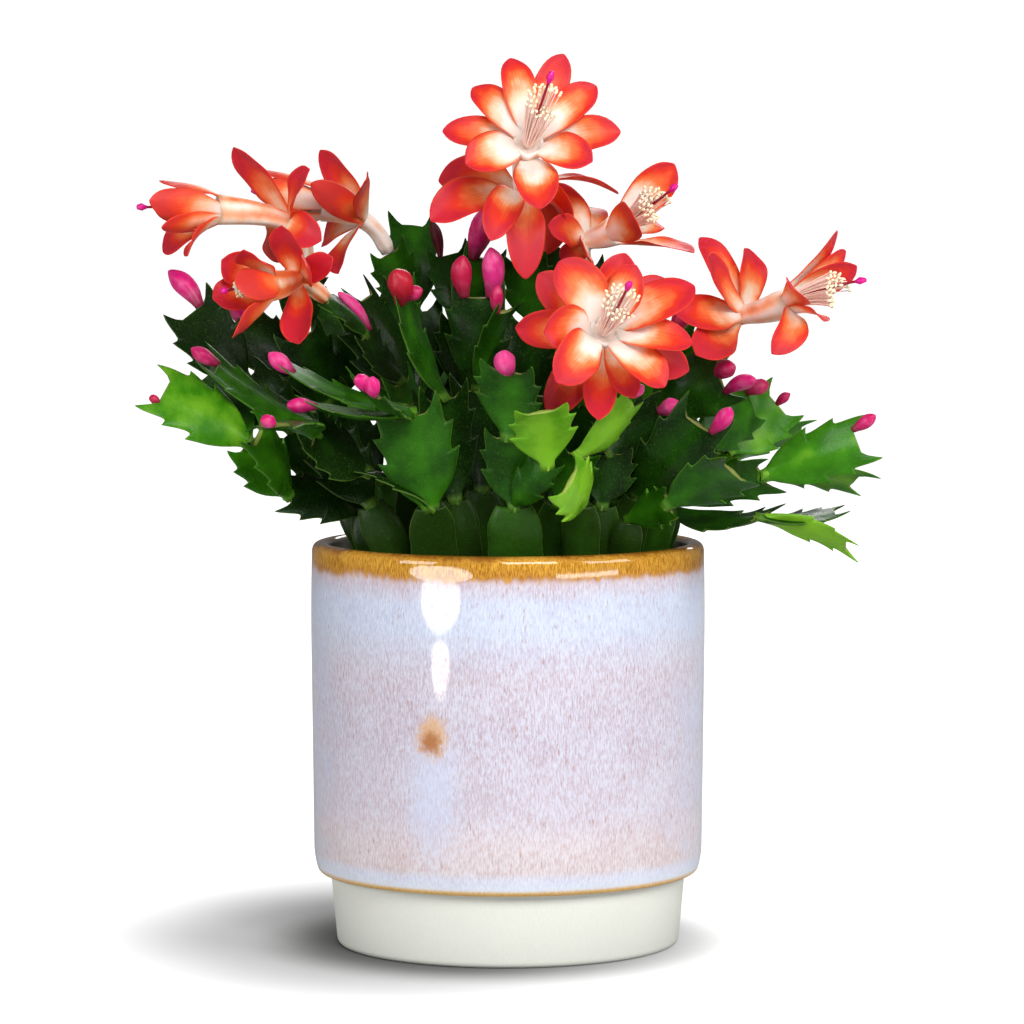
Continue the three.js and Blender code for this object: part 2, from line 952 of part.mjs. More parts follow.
// A shoot at the back, which leans outwards and forks once
function grownShoot(k) {
  const [azimuth, ring] = BACK_ROOTS[k];
  const root = [ring * Math.cos(radians(azimuth)), ring * Math.sin(radians(azimuth))];
  const shoot = { root, pads: [], buds: [] };
  BACK_PADS.forEach(([from, round, rise, length, width], i) => {
    const base = from ? shoot.pads[from - 1].tip : [...root, SOIL_TOP + 2];
    const wobble = scatter(11 * k + i);
    const bow = wobble > 0 ? BOW : -BOW;
    const made = BACK_TRIES.map(([more, dip]) => {
      const turned = radians(azimuth + round + 8 * wobble + more);
      const up = radians(rise - (ring > 40 ? BACK_LEAN : 0) + dip);
      const out = [Math.cos(turned), Math.sin(turned), 0];
      const tip = add(add(base, out, length * Math.cos(up)), [0, 0, length * Math.sin(up)]);
      return makePad(base, tip, width, 30 * wobble, bow, [out[0], out[1], FORWARD[2]], from === 0);
    });
    const chosen = made.find(padIsClear);
    if (!chosen && from === 0) throw new Error(`no room for shoot ${k}`);
    shoot.pads.push(chosen ?? shoot.pads[from - 1]);
    if (!chosen) return;
    if (i > 1 && scatter(5 * k + i) > 0) {
      const tip = add(chosen.tip, chosen.along, 12);
      const bud = makeBud(chosen, tip, 3.2);
      if (isClear(budBody(bud), placed)) shoot.buds.push(bud);
    }
  });
  shoot.pads = [...new Set(shoot.pads)];
  return shoot;
}

function place(shoot) {
  placed.push(...shoot.pads.map(padBody), ...shoot.buds.map(budBody));
  return shoot;
}

function shootSolid({ root, pads, buds }) {
  const ends = [SOIL_TOP - STEM_DEPTH + GAP, SOIL_TOP + STEM_SHOWS];
  const stem = ends.map((z) => ({ at: [...root, z], radius: STEM_RADIUS }));
  return joined([tube(stem, STEM_SIDES), ...pads.map(padSolid), ...buds.map(budSolid)]);
}

// A bloom's own sizes, worked out from its pad's end and its throat
function makeBloom({ on, throat, axis, upper, lower, style }) {
  const pad = shoots[on[0]].pads[on[1] - 1];
  const foot = add(padPoint(pad, 0, PAD_END), pad.along, GAP);
  const straight = add(foot, pad.along, TUBE_FOOT);
  const ahead = unit(axis);
  const pull = TUBE_PULL * size(add(throat, straight, -1));
  const line = [straight, add(straight, pad.along, pull), add(throat, ahead, -pull), throat];
  return { foot, line, ahead, upper, lower, style, pad };
}

// The point of a bloom's tube at a share of its length, and its direction there
function alongTube(line, t) {
  const s = 1 - t;
  const weights = [s * s * s, 3 * s * s * t, 3 * s * t * t, t * t * t];
  const slopes = [-s * s, s * s - 2 * s * t, 2 * s * t - t * t, t * t];
  const sum = (factors) => line.reduce((total, point, i) => add(total, point, factors[i]), [0, 0, 0]);
  return { at: sum(weights), ahead: unit(sum(slopes)) };
}

// A petal leaves its ring at an angle from the bloom's axis and arches to its tip
function makePetal({ at, ahead }, ring, leave, tip) {
  const out = squared(add(tip, at, -1), ahead);
  const base = add(add(at, ahead, -PETAL_SINK), out, ring);
  const first = add(scaled(ahead, Math.cos(leave)), out, Math.sin(leave));
  const bend = add(base, first, PETAL_ARCH * size(add(tip, base, -1)));
  return { at, ahead, out, base, bend, tip, across: cross(out, ahead) };
}

function petalPlace(petal, u, v) {
  const { base, bend, tip, across, width } = petal;
  const middle = mix(mix(base, bend, v), mix(bend, tip, v), v);
  const along = unit(add(mix(bend, tip, v), mix(base, bend, v), -1));
  const face = cross(across, along);
  const side = add(middle, across, (u * width) / 2);
  return { point: add(side, face, PETAL_CUP * u * u * width), face };
}

// The petals of a whorl, each as wide as its neighbours round the axis leave room for
function makeWhorl(root, ring, { width, leave, tips }) {
  const petals = tips.map((tip) => makePetal(root, ring, radians(leave), tip));
  const aside = petals[0].across;
  const turns = petals.map(({ out }) => Math.atan2(dot(out, aside), dot(out, petals[0].out)));
  petals.forEach((petal, i) => {
    const others = turns.filter((_, k) => k !== i);
    const gaps = others.map((turn) => (turn - turns[i] + 4 * Math.PI) % (2 * Math.PI));
    const apart = (Math.min(...gaps) + 2 * Math.PI - Math.max(...gaps)) / 2;
    const { point } = petalPlace({ ...petal, width: 0 }, 0, WIDEST_AT);
    const room = apart * dot(add(point, petal.at, -1), petal.out);
    petal.width = Math.min(width, Math.max(room, NARROWEST * width));
  });
  return petals;
}

function petalSolid(petal) {
  return blade(PETAL_OUTLINE, (u, v) => petalPlace(petal, u, v), PETAL_EDGE, PETAL_THICK);
}

function bloomPetals({ line, ahead, upper, lower }) {
  const throat = { at: line[3], ahead };
  const collar = alongTube(line, lower.at);
  return [...makeWhorl(throat, TUBE_RADII.at(-1) - 1, upper), ...makeWhorl(collar, COLLAR_RADIUS, lower)];
}

function bloomSolid(bloom) {
  const steps = TUBE_RADII.length - 1;
  const rings = TUBE_RADII.map((radius, i) => ({ at: alongTube(bloom.line, i / steps).at, radius }));
  rings.at(-1).along = bloom.ahead;
  const foot = { at: bloom.foot, radius: 2.2, along: bloom.pad.along };
  return joined([tube([foot, ...rings], 6), ...bloomPetals(bloom).map(petalSolid)]);
}

// The stamens and the style stand together on a small disc in the throat
function stamenSolid({ line, ahead, style }) {
  const base = add(line[3], ahead, GAP);
  const up = squared([0, 0, 1], ahead);
  const aside = cross(ahead, up);
  const reach = size(add(style, base, -1));
  const pieces = [tube([{ at: base, radius: 2 }, { at: add(base, ahead, 1.6), radius: 1.8 }], 6)];
  for (let k = 0; k < STAMEN_COUNT; k++) {
    const angle = (2 * Math.PI * k) / STAMEN_COUNT;
    const out = add(scaled(up, Math.cos(angle)), aside, Math.sin(angle));
    const end = add(mix(base, style, 0.68 + 0.1 * scatter(k)), out, 3.6);
    const middle = add(mix(add(base, ahead, reach / 2), mix(base, style, 0.4), 0.5), out, 1.9);
    const rings = [
      { at: add(add(base, ahead, 0.8), out, 1), radius: 0.45 },
      { at: middle, radius: 0.4 },
      { at: end, radius: 0.8 },
    ];
    pieces.push(tube(rings, 3, 0.9));
  }
  const rings = [
    { at: add(base, ahead, 0.8), radius: 0.5 },
    { at: mix(add(base, ahead, reach / 2), mix(base, style, 0.5), 0.5), radius: 0.5 },
    { at: style, radius: 1.2 },
  ];
  pieces.push(tube(rings, 4, 1));
  return joined(pieces);
}

function bloomBodies(bloom) {
  const bodies = [];
  for (let i = 0; i < 3; i++) {
    bodies.push(roundBody(alongTube(bloom.line, i / 3).at, alongTube(bloom.line, (i + 1) / 3).at, 3.6));
  }
  bodies.push(roundBody(bloom.line[3], bloom.style, 4.6));
  bloomPetals(bloom).forEach((petal) => {
    for (let i = 0; i < 2; i++) {
      const [from, to] = [petalPlace(petal, 0, i / 2), petalPlace(petal, 0, (i + 1) / 2)];
      const middle = petalPlace(petal, 0, (i + 0.5) / 2);
      const flat = petalFlat(petal, from.point, to.point, middle.face);
      bodies.push(padBody(flat));
    }
  });
  return bodies;
}

// Half a petal as a flat body, like a pad
function petalFlat(petal, base, tip, facing) {
  const along = unit(add(tip, base, -1));
  const face = squared(facing, along);
  const length = size(add(tip, base, -1)) / PAD_REACH;
  const { across, width } = petal;
  return { base, tip, along, face, across, width: 0.9 * width, length, bow: BOW / 2, thick: PETAL_THICK };
}

// The pots and the soil
function cachepotSolid() {
  const profile = [
    [0, 0],
    [FOOT_RADIUS - 3, 0],
    [FOOT_RADIUS, 3.5],
    [FOOT_RADIUS, FOOT_HEIGHT],
    [POT_RADIUS - 1.2, FOOT_HEIGHT + 2.5],
    [POT_RADIUS, FOOT_HEIGHT + 8],
    [POT_RADIUS, POT_HEIGHT - 3],
    [POT_RADIUS - 1.2, POT_HEIGHT - 0.6],
    [POT_RADIUS - 2.7, POT_HEIGHT],
    [POT_INSIDE + 0.8, POT_HEIGHT - 0.8],
    [POT_INSIDE, POT_HEIGHT - 3],
    [POT_INSIDE - 0.5, FOOT_HEIGHT + 10],
    [FOOT_INSIDE, FOOT_HEIGHT],
    [FOOT_INSIDE - 1, POT_FLOOR + 3],
    [FOOT_INSIDE - 4, POT_FLOOR],
    [0, POT_FLOOR],
  ];
  return turned(profile, 32);
}

function linerSolid() {
  const foot = POT_FLOOR + GAP;
  const profile = [
    [0, foot],
    [LINER_FOOT_RADIUS, foot],
    [LINER_TOP_RADIUS - 1.2, LINER_TOP - 6],
    [LINER_TOP_RADIUS, LINER_TOP - 6],
    [LINER_TOP_RADIUS, LINER_TOP],
    [LINER_TOP_RADIUS - 1.2 - LINER_WALL, LINER_TOP],
    [LINER_FOOT_RADIUS - LINER_WALL, foot + LINER_WALL],
    [0, foot + LINER_WALL],
  ];
  const drains = [];
  for (let k = 0; k < DRAIN_HOLES; k++) {
    const angle = (2 * Math.PI * k) / DRAIN_HOLES;
    const at = [DRAIN_RING * Math.cos(angle), DRAIN_RING * Math.sin(angle)];
    const ends = [foot - 1, foot + LINER_WALL + 1];
    drains.push(tube(ends.map((z) => ({ at: [...at, z], radius: DRAIN_RADIUS })), DRAIN_HOLES));
  }
  return turned(profile, 20).subtract(joined(drains));
}

function soilSolid() {
  const foot = POT_FLOOR + LINER_WALL + 2 * GAP;
  const slope = (LINER_TOP_RADIUS - 1.2 - LINER_FOOT_RADIUS) / (LINER_TOP - foot);
  const side = (z) => LINER_FOOT_RADIUS - LINER_WALL - 2 * GAP + slope * (z - foot);
  const body = turned([[0, foot], [side(foot), foot], [side(SOIL_TOP), SOIL_TOP], [0, SOIL_TOP]], 20);
  const holes = Object.values(shoots).map(({ root }) => {
    const ends = [SOIL_TOP - STEM_DEPTH, SOIL_TOP + STEM_SHOWS];
    return tube(ends.map((z) => ({ at: [...root, z], radius: STEM_RADIUS + STEM_GAP })), STEM_SIDES);
  });
  return body.subtract(joined(holes));
}

// The whole object
const shoots = {};
const blooms = {};
const parts = new THREE.Group();

function addPart(name, made, finish) {
  const { vertProperties, triVerts } = made.getMesh();
  const geometry = new THREE.BufferGeometry();
  geometry.setAttribute("position", new THREE.BufferAttribute(vertProperties, 3));
  geometry.setIndex(new THREE.BufferAttribute(triVerts, 1));
  geometry.computeVertexNormals();
  const mesh = new THREE.Mesh(geometry, new THREE.MeshStandardMaterial(FINISH[finish]));
  mesh.name = name;
  parts.add(mesh);
}

Object.entries(BLOOMING_SHOOTS).forEach(([name, table], i) => {
  shoots[name] = place(drawnShoot(table, i, [[0, 0]]));
});
Object.entries(BLOOMS).forEach(([name, table]) => {
  blooms[name] = makeBloom(table);
  placed.push(...bloomBodies(blooms[name]));
});
Object.entries(FRONT_SHOOTS).forEach(([name, table], i) => {
  shoots[name] = place(drawnShoot(table, 20 + i, FRONT_TRIES));
});
BACK_ROOTS.forEach((_, k) => {
  shoots[`shoot_back_${k + 1}`] = place(grownShoot(k));
});

addPart("cachepot", cachepotSolid(), "glaze");
addPart("growing_pot", linerSolid(), "plastic");
addPart("potting_soil", soilSolid(), "soil");
Object.entries(shoots).forEach(([name, shoot]) => addPart(name, shootSolid(shoot), "pad"));
Object.entries(blooms).forEach(([name, bloom]) => {
  addPart(name, bloomSolid(bloom), "petal");
  addPart(`${name}_stamens`, stamenSolid(bloom), "stamen");
});

export default parts;
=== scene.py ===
"""Looks of a potted christmas cactus in bloom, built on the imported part.

The plant is laid out in millimetres on the same pads, buds and petals as the solids of the part, and each
mesh is turned to metres when it is made. -Y is the front, and the origin is the centre of the pot's foot.
"""

import logging
import math
from dataclasses import dataclass, replace
from enum import Enum
from functools import partial
from typing import Any, Callable, Sequence

import bpy
import numpy as np
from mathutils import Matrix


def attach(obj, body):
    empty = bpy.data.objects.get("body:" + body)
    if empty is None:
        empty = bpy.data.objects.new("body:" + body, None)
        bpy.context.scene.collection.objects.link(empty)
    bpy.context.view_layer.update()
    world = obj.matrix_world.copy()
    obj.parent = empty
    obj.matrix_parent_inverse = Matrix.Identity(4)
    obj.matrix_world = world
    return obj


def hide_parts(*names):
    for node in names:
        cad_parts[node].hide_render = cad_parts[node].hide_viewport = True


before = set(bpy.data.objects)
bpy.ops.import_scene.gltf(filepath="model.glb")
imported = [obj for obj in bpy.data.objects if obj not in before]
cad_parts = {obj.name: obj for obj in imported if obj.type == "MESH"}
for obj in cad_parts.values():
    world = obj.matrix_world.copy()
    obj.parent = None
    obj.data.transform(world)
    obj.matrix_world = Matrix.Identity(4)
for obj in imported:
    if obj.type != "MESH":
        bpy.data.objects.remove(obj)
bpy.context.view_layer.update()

Array = np.ndarray
Adder = Callable[..., Any]
LOG = logging.getLogger("cactus")
MM = 0.001

# Sizes that the solids of the part have too, in millimetres or as shares
GAP = 0.3
POT_HEIGHT = 140.0
POT_RADIUS = 67.5
POT_INSIDE = 62.0
POT_FLOOR = 8.0
FOOT_RADIUS = 60.0
FOOT_HEIGHT = 25.0
FOOT_INSIDE = 54.0
LINER_TOP = 131.0
LINER_TOP_RADIUS = 57.5
LINER_FOOT_RADIUS = 48.0
LINER_WALL = 1.2
SOIL_TOP = 126.0
STEM_RADIUS = 2.4
STEM_DEPTH = 12.0
STEM_SHOWS = 4.0
ROOT_RISE = 2.0
LINER_STEP = 1.2
LIP_DEPTH = 6.0
PAD_THICK = 3.4
JOINT_SINK = 2.2
BOW = 0.07
PAD_TROUGH = 0.05
PAD_END = 0.97
BUD_SEAT = 0.95
BUD_ASIDE = 0.42
PETAL_CUP = 0.12
PETAL_SINK = 1.5
PETAL_ARCH = 0.45
WIDEST_AT = 0.6
TUBE_FOOT = 3.0
TUBE_PULL = 0.4
COLLAR_RADIUS = 1.8

# Steps between the rows of an outline, ribs round a round shell, and what spreads things evenly
ROW_STEPS = 2
RIBS = 5
GOLDEN_ANGLE = 2.39996
GOLDEN_SHARE = 0.6180339887498949
SCATTER_START = 0.37

# What the photograph's camera was, in millimetres and degrees
CAMERA_AT = (1.4, -1650.0, 273.0)
CAMERA_PITCH = 4.26
CAMERA_LENS = 167.6


# Vectors


def unit(a: Array) -> Array:
    """Gives the direction of a vector, or of each row of vectors."""
    return a / np.linalg.norm(a, axis=-1, keepdims=True)


def squared(a: Array, axis: Array) -> Array:
    """Gives what is left of a direction without its share along an axis."""
    return unit(a - np.sum(a * axis, axis=-1, keepdims=True) * axis)


def scatter(k: float) -> float:
    """Gives an even scatter from -1 to 1, the same for the same number."""
    return 2 * ((k * GOLDEN_SHARE + SCATTER_START) % 1) - 1


def smooth(low: float, high: float, x: Array | float) -> Array:
    """Gives a soft step from 0 at low to 1 at high."""
    t = np.clip((np.asarray(x) - low) / (high - low), 0, 1)
    return t * t * (3 - 2 * t)


# Meshes


def ring_faces(rows: int, cols: int) -> Array:
    """Gives the quads between closed rings.

    Args:
        rows: How many rings there are.
        cols: How many points each ring has.

    Returns:
        The faces, four point numbers each.
    """
    k = np.arange((rows - 1) * cols)
    after = np.where(k % cols == cols - 1, k - cols + 1, k + 1)
    return np.stack([k, after, after + cols, k + cols], axis=1)


def leaf_faces(rows: int, half: int) -> list[Array]:
    """Gives the faces of a flat shell, whose rings run out over one face and back over the other.

    Args:
        rows: How many rings the shell has.
        half: How many steps a ring takes across one face.

    Returns:
        The faces of the rings and of both closed ends.
    """
    last = (rows - 1) * 2 * half
    quads, corners = [], []
    for start, turned in ((0, False), (last, True)):
        for j in range(half):
            face = [j + 1, j, (2 * half - j) % (2 * half), 2 * half - j - 1]
            face = [start + k for k in dict.fromkeys(face)]
            (quads if len(face) == 4 else corners).append(face[::-1] if turned else face)
    return [ring_faces(rows, 2 * half), np.array(quads), np.array(corners)]


def fan(ring: Sequence[int], middle: int, turned: bool) -> Array:
    """Closes a ring with triangles to one point.

    Args:
        ring: The ring's point numbers in order.
        middle: The point that they all meet.
        turned: Whether the triangles look the other way.

    Returns:
        The faces, three point numbers each.
    """
    faces = [[a, b, middle] for a, b in zip(ring, [*ring[1:], ring[0]])]
    return np.array([face[::-1] for face in faces] if turned else faces)


def closed_rings(rows: int, sides: int) -> list[Array]:
    """Gives the faces of rings that a point closes at each end.

    Args:
        rows: How many rings there are. Both end points come after them, the first ring's own first.
        sides: How many points each ring has.

    Returns:
        The faces of the rings and of both ends.
    """
    first, last = list(range(sides)), list(range((rows - 1) * sides, rows * sides))
    return [ring_faces(rows, sides), fan(first, rows * sides, True), fan(last, rows * sides + 1, False)]


class Shells:
    """A mesh in the making: closed shells with values at their points, for the finish to read."""

    def __init__(self, *values: str) -> None:
        """Starts an empty mesh with the names of its values."""
        self.points: list[Array] = []
        self.faces: list[list[int]] = []
        self.plies: list[Array] = []
        self.values: dict[str, list[Array]] = {name: [] for name in values}
        self.count = 0

    def add(self, points: Array, faces: Sequence[Array], ply: Array | None = None, **values: Any) -> None:
        """Adds one closed shell and turns it to face outwards.

        Args:
            points: Its points in millimetres.
            faces: Arrays of faces with the same number of corners in each.
            ply: How far each point is along two lines on the surface, in millimetres.
            values: A number, or one for each point, for every value of the mesh.
        """
        inside = 0.0
        for group in faces:
            a = points[group[:, 0]]
            for k in range(1, group.shape[1] - 1):
                inside += float(np.sum(a * np.cross(points[group[:, k]], points[group[:, k + 1]])))
        for group in faces:
            group = group if inside > 0 else group[:, ::-1]
            self.faces.extend((group + self.count).tolist())
        self.points.append(points * MM)
        self.plies.append(np.zeros((len(points), 2)) if ply is None else ply * MM)
        for name, rows in self.values.items():
            rows.append(np.broadcast_to(np.asarray(values.get(name, 0.0), float), (len(points),)))
        self.count += len(points)

    def build(self, name: str, *materials: bpy.types.Material) -> bpy.types.Object:
        """Makes the object.

        Args:
            name: The object's name.
            materials: Its materials, of which the first is on all faces.

        Returns:
            The object, which stands at the origin.
        """
        mesh = bpy.data.meshes.new(name)
        mesh.from_pydata(np.concatenate(self.points).tolist(), [], self.faces)
        mesh.shade_smooth()
        corners = np.zeros(len(mesh.loops), np.int32)
        mesh.loops.foreach_get("vertex_index", corners)
        layer = mesh.uv_layers.new(name="surface")
        layer.uv.foreach_set("vector", np.concatenate(self.plies)[corners].astype(np.float32).ravel())
        for key, rows in self.values.items():
            attribute = mesh.attributes.new(key, "FLOAT", "POINT")
            attribute.data.foreach_set("value", np.concatenate(rows).astype(np.float32))
        for material in materials:
            mesh.materials.append(material)
        made = bpy.data.objects.new(name, mesh)
        bpy.context.scene.collection.objects.link(made)
        return made


def add_rings(
    shells: Shells, centres: Array, alongs: Array, radii: Array, sides: int, lobes: float = 0.0,
    twist: float = 0.0, **values: Any,
) -> None:
    """Adds a round shell of rings about a line, closed at both ends.

    Args:
        shells: The mesh that it goes into.
        centres: The centre of each ring.
        alongs: The direction square to each ring.
        radii: The radius of each ring.
        sides: How many points each ring has.
        lobes: The share of the radius that five ribs stand out by.
        twist: How far the ribs turn round from end to end, in radians.
        values: A number, or one for each ring, for each value of the mesh.
    """
    across = np.array([1.0, 0, 0]) if abs(alongs[0][0]) < 0.9 else np.array([0, 1.0, 0])
    angles = np.arange(sides) * 2 * np.pi / sides
    rings, grooves = [], []
    for k, (centre, along, radius) in enumerate(zip(centres, alongs, radii)):
        across = squared(across, along)
        third = np.cross(along, across)
        rib = np.cos(RIBS * (angles + twist * k / len(centres)))
        wide = radius * (1 + lobes * rib)
        grooves.append(0.5 - 0.5 * rib)
        spokes = np.outer(np.cos(angles), across) + np.outer(np.sin(angles), third)
        rings.append(centre + wide[:, None] * spokes)
    rows = len(rings)
    points = np.concatenate([*rings, centres[:1], centres[-1:]])
    spread = {}
    for name, value in values.items():
        each = np.broadcast_to(np.asarray(value, float), (rows,))
        spread[name] = np.concatenate([np.repeat(each, sides), each[:1], each[-1:]])
    spread["groove"] = np.concatenate([*grooves, [0.5, 0.5]])
    shells.add(points, closed_rings(rows, sides), **spread)


def add_turned(shells: Shells, profile: Sequence[Sequence[float]], sides: int) -> None:
    """Adds a round shell about +Z.

    Args:
        shells: The mesh that it goes into.
        profile: Its [radius, height] points, which start and end on the axis.
        sides: How many points go round.
    """
    angles = np.arange(sides) * 2 * np.pi / sides
    rim = np.array(profile[1:-1], float)
    ring = np.stack([np.cos(angles), np.sin(angles)], axis=1)
    points = np.concatenate([np.column_stack([ring * r, np.full(sides, z)]) for r, z in rim])
    ends = np.array([[0, 0, profile[0][1]], [0, 0, profile[-1][1]]], float)
    shells.add(np.concatenate([points, ends]), closed_rings(len(rim), sides))


def rounded(profile: Sequence[Sequence[float]], steps: int = 4) -> list[tuple[float, float]]:
    """Rounds the corners of a profile that say how much they give.

    Args:
        profile: Points of [radius, height] or [radius, height, rounding].
        steps: How many points take the place of a rounded corner, less one.

    Returns:
        The finer profile of [radius, height] points.
    """
    made: list[tuple[float, float]] = []
    for i, row in enumerate(profile):
        at = np.array(row[:2], float)
        if len(row) < 3:
            made.append(tuple(at))
            continue
        before, after = (np.array(profile[k][:2], float) for k in (i - 1, i + 1))
        start = at + unit(before - at) * row[2]
        end = at + unit(after - at) * row[2]
        made.extend(tuple(point) for point in arc(start, at, end, np.linspace(0, 1, steps + 1)))
    return made


# Each row of a pad's right side is [half its width, height at the rim, height on the middle line], as shares.
# A petal's row is level, so it has no third number.
PAD_ROWS = (
    (0.22, -0.01, -0.01), (0.24, 0.0, 0.0), (0.27, 0.035, 0.03), (0.36, 0.08, 0.07), (0.49, 0.135, 0.125),
    (0.62, 0.2, 0.19), (0.74, 0.275, 0.26), (0.84, 0.35, 0.33), (0.92, 0.43, 0.4), (1.0, 0.505, 0.45),
    (1.06, 0.562, 0.475), (0.97, 0.548, 0.487), (0.88, 0.538, 0.5), (0.835, 0.545, 0.52),
    (0.835, 0.585, 0.555), (0.87, 0.64, 0.6), (0.925, 0.7, 0.65), (0.99, 0.765, 0.7), (1.045, 0.828, 0.735),
    (0.96, 0.82, 0.75), (0.87, 0.818, 0.765), (0.83, 0.835, 0.79), (0.825, 0.885, 0.825), (0.835, 0.94, 0.86),
    (0.84, 1.0, 0.89), (0.835, 1.06, 0.92), (0.81, 1.12, 0.94), (0.78, 1.14, 0.955),
)
STEM_ROWS = (
    (0.34, -0.01, -0.01), (0.36, 0.0, 0.0), (0.5, 0.08, 0.08), (0.7, 0.17, 0.17), (0.87, 0.26, 0.26),
    (0.95, 0.35, 0.35), (0.93, 0.44, 0.43), (0.91, 0.55, 0.53), (0.93, 0.66, 0.63), (0.91, 0.75, 0.72),
    (0.84, 0.83, 0.79), (0.74, 0.9, 0.86), (0.65, 0.96, 0.92), (0.58, 0.99, 0.96),
)
PETAL_ROWS = (
    (0.32, 0.0), (0.4, 0.06), (0.5, 0.13), (0.61, 0.21), (0.73, 0.29), (0.84, 0.37), (0.92, 0.45),
    (0.98, 0.53), (1.0, 0.61), (0.985, 0.69), (0.94, 0.762), (0.86, 0.828), (0.74, 0.884), (0.58, 0.929),
    (0.39, 0.963), (0.19, 0.988), (0.06, 1.0),
)

# The way that a pad without a turn faces
FORWARD = np.array([0, -1, 0.25])


class Age(Enum):
    """How old a pad is, which sets its green. The ages are partly the pads' own age and partly painted light
    and shade: pads that lie in shade are given older, darker greens, and lit ones younger, lighter greens.
    """

    OLD = "0"
    GROWN = "1"
    FRESH = "2"
    YOUNG = "3"

    @property
    def share(self) -> float:
        """Gives the age as a share from old to young."""
        return int(self.value) / 3


@dataclass(frozen=True)
class Pad:
    """One flat joint of a stem, in millimetres or as shares of its length, width and thickness.

    Between end_rows its rows turn to the cut-off end. Past horn_from, across it, its horns start. It is
    thin at its flanks, and a midrib adds to that in the middle. A wave is (millimetres high, radians along
    the pad, radians that its start is scattered by). The scar is the pale edge of the cut-off end.
    """

    base: Array
    tip: Array
    along: Array
    face: Array
    across: Array
    width: float
    length: float
    bow: float
    stem: bool
    age: Age
    steps: int = 12
    stem_steps: int = 8
    end_rows: tuple[float, float] = (0.78, 0.95)
    horn_from: float = 0.52
    horn_point: float = 1.4
    slant: float = 0.04
    midrib: float = 2.4
    flank_thick: float = 0.5
    ridge_thick: float = 0.45
    stem_full: float = 1.1
    end_thins: float = 0.45
    slow_wave: tuple[float, float, float] = (0.5, 4.6, 3.1)
    quick_wave: tuple[float, float, float] = (0.45, 7.5, 5.0)
    wave_leans: float = 2.6
    scar_wide: float = 0.5
    scar_from: float = 0.954
    scar_share: float = 0.55
    age_scatter: float = 0.12

    @classmethod
    def grown(
        cls, base: Array, tip: Array, width: float, turn: float, bow: float, forward: Array, stem: bool,
        age: Age,
    ) -> "Pad":
        """Makes a pad from its two ends.

        Args:
            base: Where it starts.
            tip: Where it ends.
            width: Its greatest width.
            turn: Its turn about its own length, in degrees, from facing forwards.
            bow: How far its middle stands out, as a share of its length.
            forward: The direction that it faces without a turn.
            stem: Whether it is the plain joint next to the soil.
            age: How old it is.

        Returns:
            The pad.
        """
        along = unit(tip - base)
        flat = squared(forward, along)
        aside = np.cross(along, flat)
        face = flat * math.cos(math.radians(turn)) + aside * math.sin(math.radians(turn))
        length = float(np.linalg.norm(tip - base))
        return cls(base, tip, along, face, np.cross(along, face), width, length, bow, stem, age)

    def point(self, u: Array | float, v: Array | float) -> Array:
        """Gives points on the middle of the pad.

        Args:
            u: Shares of its half width, from -1 to 1.
            v: Shares of its length.

        Returns:
            One point for each pair of shares.
        """
        u, v = np.broadcast_arrays(np.asarray(u, float), np.asarray(v, float))
        trough = PAD_TROUGH * u * u * self.width * np.sign(self.bow)
        arch = 4 * v * (1 - v) * self.bow * self.length - trough
        up, aside = v * self.length, u * self.width / 2
        line = np.multiply.outer(up, self.along) + np.multiply.outer(aside, self.across)
        return self.base + line + np.multiply.outer(arch, self.face)

    def add_to(self, shells: Shells, number: int) -> None:
        """Adds the pad's shell, with its teeth, its horns and its thicker middle.

        Args:
            shells: The mesh of the shoot.
            number: A number of its own, which sets how it waves.
        """
        rows = finer(STEM_ROWS if self.stem else PAD_ROWS, ROW_STEPS)
        half = self.stem_steps if self.stem else self.steps
        u, v, q, side = leaf_loops(rows, half)
        height = rows[:, 2:3]
        last = smooth(*self.end_rows, height)
        lift = np.clip((np.abs(q) - self.horn_from) / (1 - self.horn_from), 0, 1) ** self.horn_point
        v = height + (rows[:, 1:2] - height) * ((1 - last) * q**2 + last * lift)
        if not self.stem:
            v = np.where(height < 0, -JOINT_SINK / self.length, v)
        v = v + self.slant * scatter(number + 21) * q * np.sin(np.pi * np.clip(v, 0, 1))
        ridge = np.exp(-((u * self.width / 2 / self.midrib) ** 2))
        thick = PAD_THICK / 2 * (self.stem_full if self.stem else 1.0 - self.end_thins * smooth(0.5, 1, v))
        thick = thick * (self.flank_thick + self.ridge_thick * ridge)
        thick = np.minimum(thick, 0.8 * rows[:, :1] * self.width / 2) * np.sqrt(1 - np.abs(q) ** 5)
        tall, turns, start = self.slow_wave
        slow = tall * np.sin(turns * v + start * scatter(number)) * u * np.abs(u)
        tall, turns, start = self.quick_wave
        quick = tall * np.sin(turns * v + self.wave_leans * u + start * scatter(number + 50)) * np.abs(u)
        out = side * thick + (slow + quick) * smooth(0, 0.3, v)
        points = self.point(u, v) + out[..., None] * self.face
        scarred = (np.abs(u) < self.scar_wide) & (height > self.scar_from) & (not self.stem)
        scar = np.where(scarred, self.scar_share, 0.0)
        ply = np.stack([u * self.width / 2, v * self.length], axis=-1).reshape(-1, 2)
        shells.add(
            points.reshape(-1, 3), leaf_faces(len(rows), half), ply,
            age=self.age.share + self.age_scatter * scatter(number + 7), edge=np.abs(q).ravel(),
            rise=v.ravel(), aside=np.abs(u).ravel(), scar=scar.ravel(), woody=float(self.stem),
        )


def finer(rows: Sequence[Sequence[float]], times: int) -> Array:
    """Puts even steps between the rows of an outline.

    Args:
        rows: The outline's rows.
        times: How many steps take the place of one.

    Returns:
        The finer rows.
    """
    table = np.array(rows, float)
    at = np.linspace(0, len(table) - 1, (len(table) - 1) * times + 1)
    return np.stack([np.interp(at, np.arange(len(table)), column) for column in table.T], axis=1)


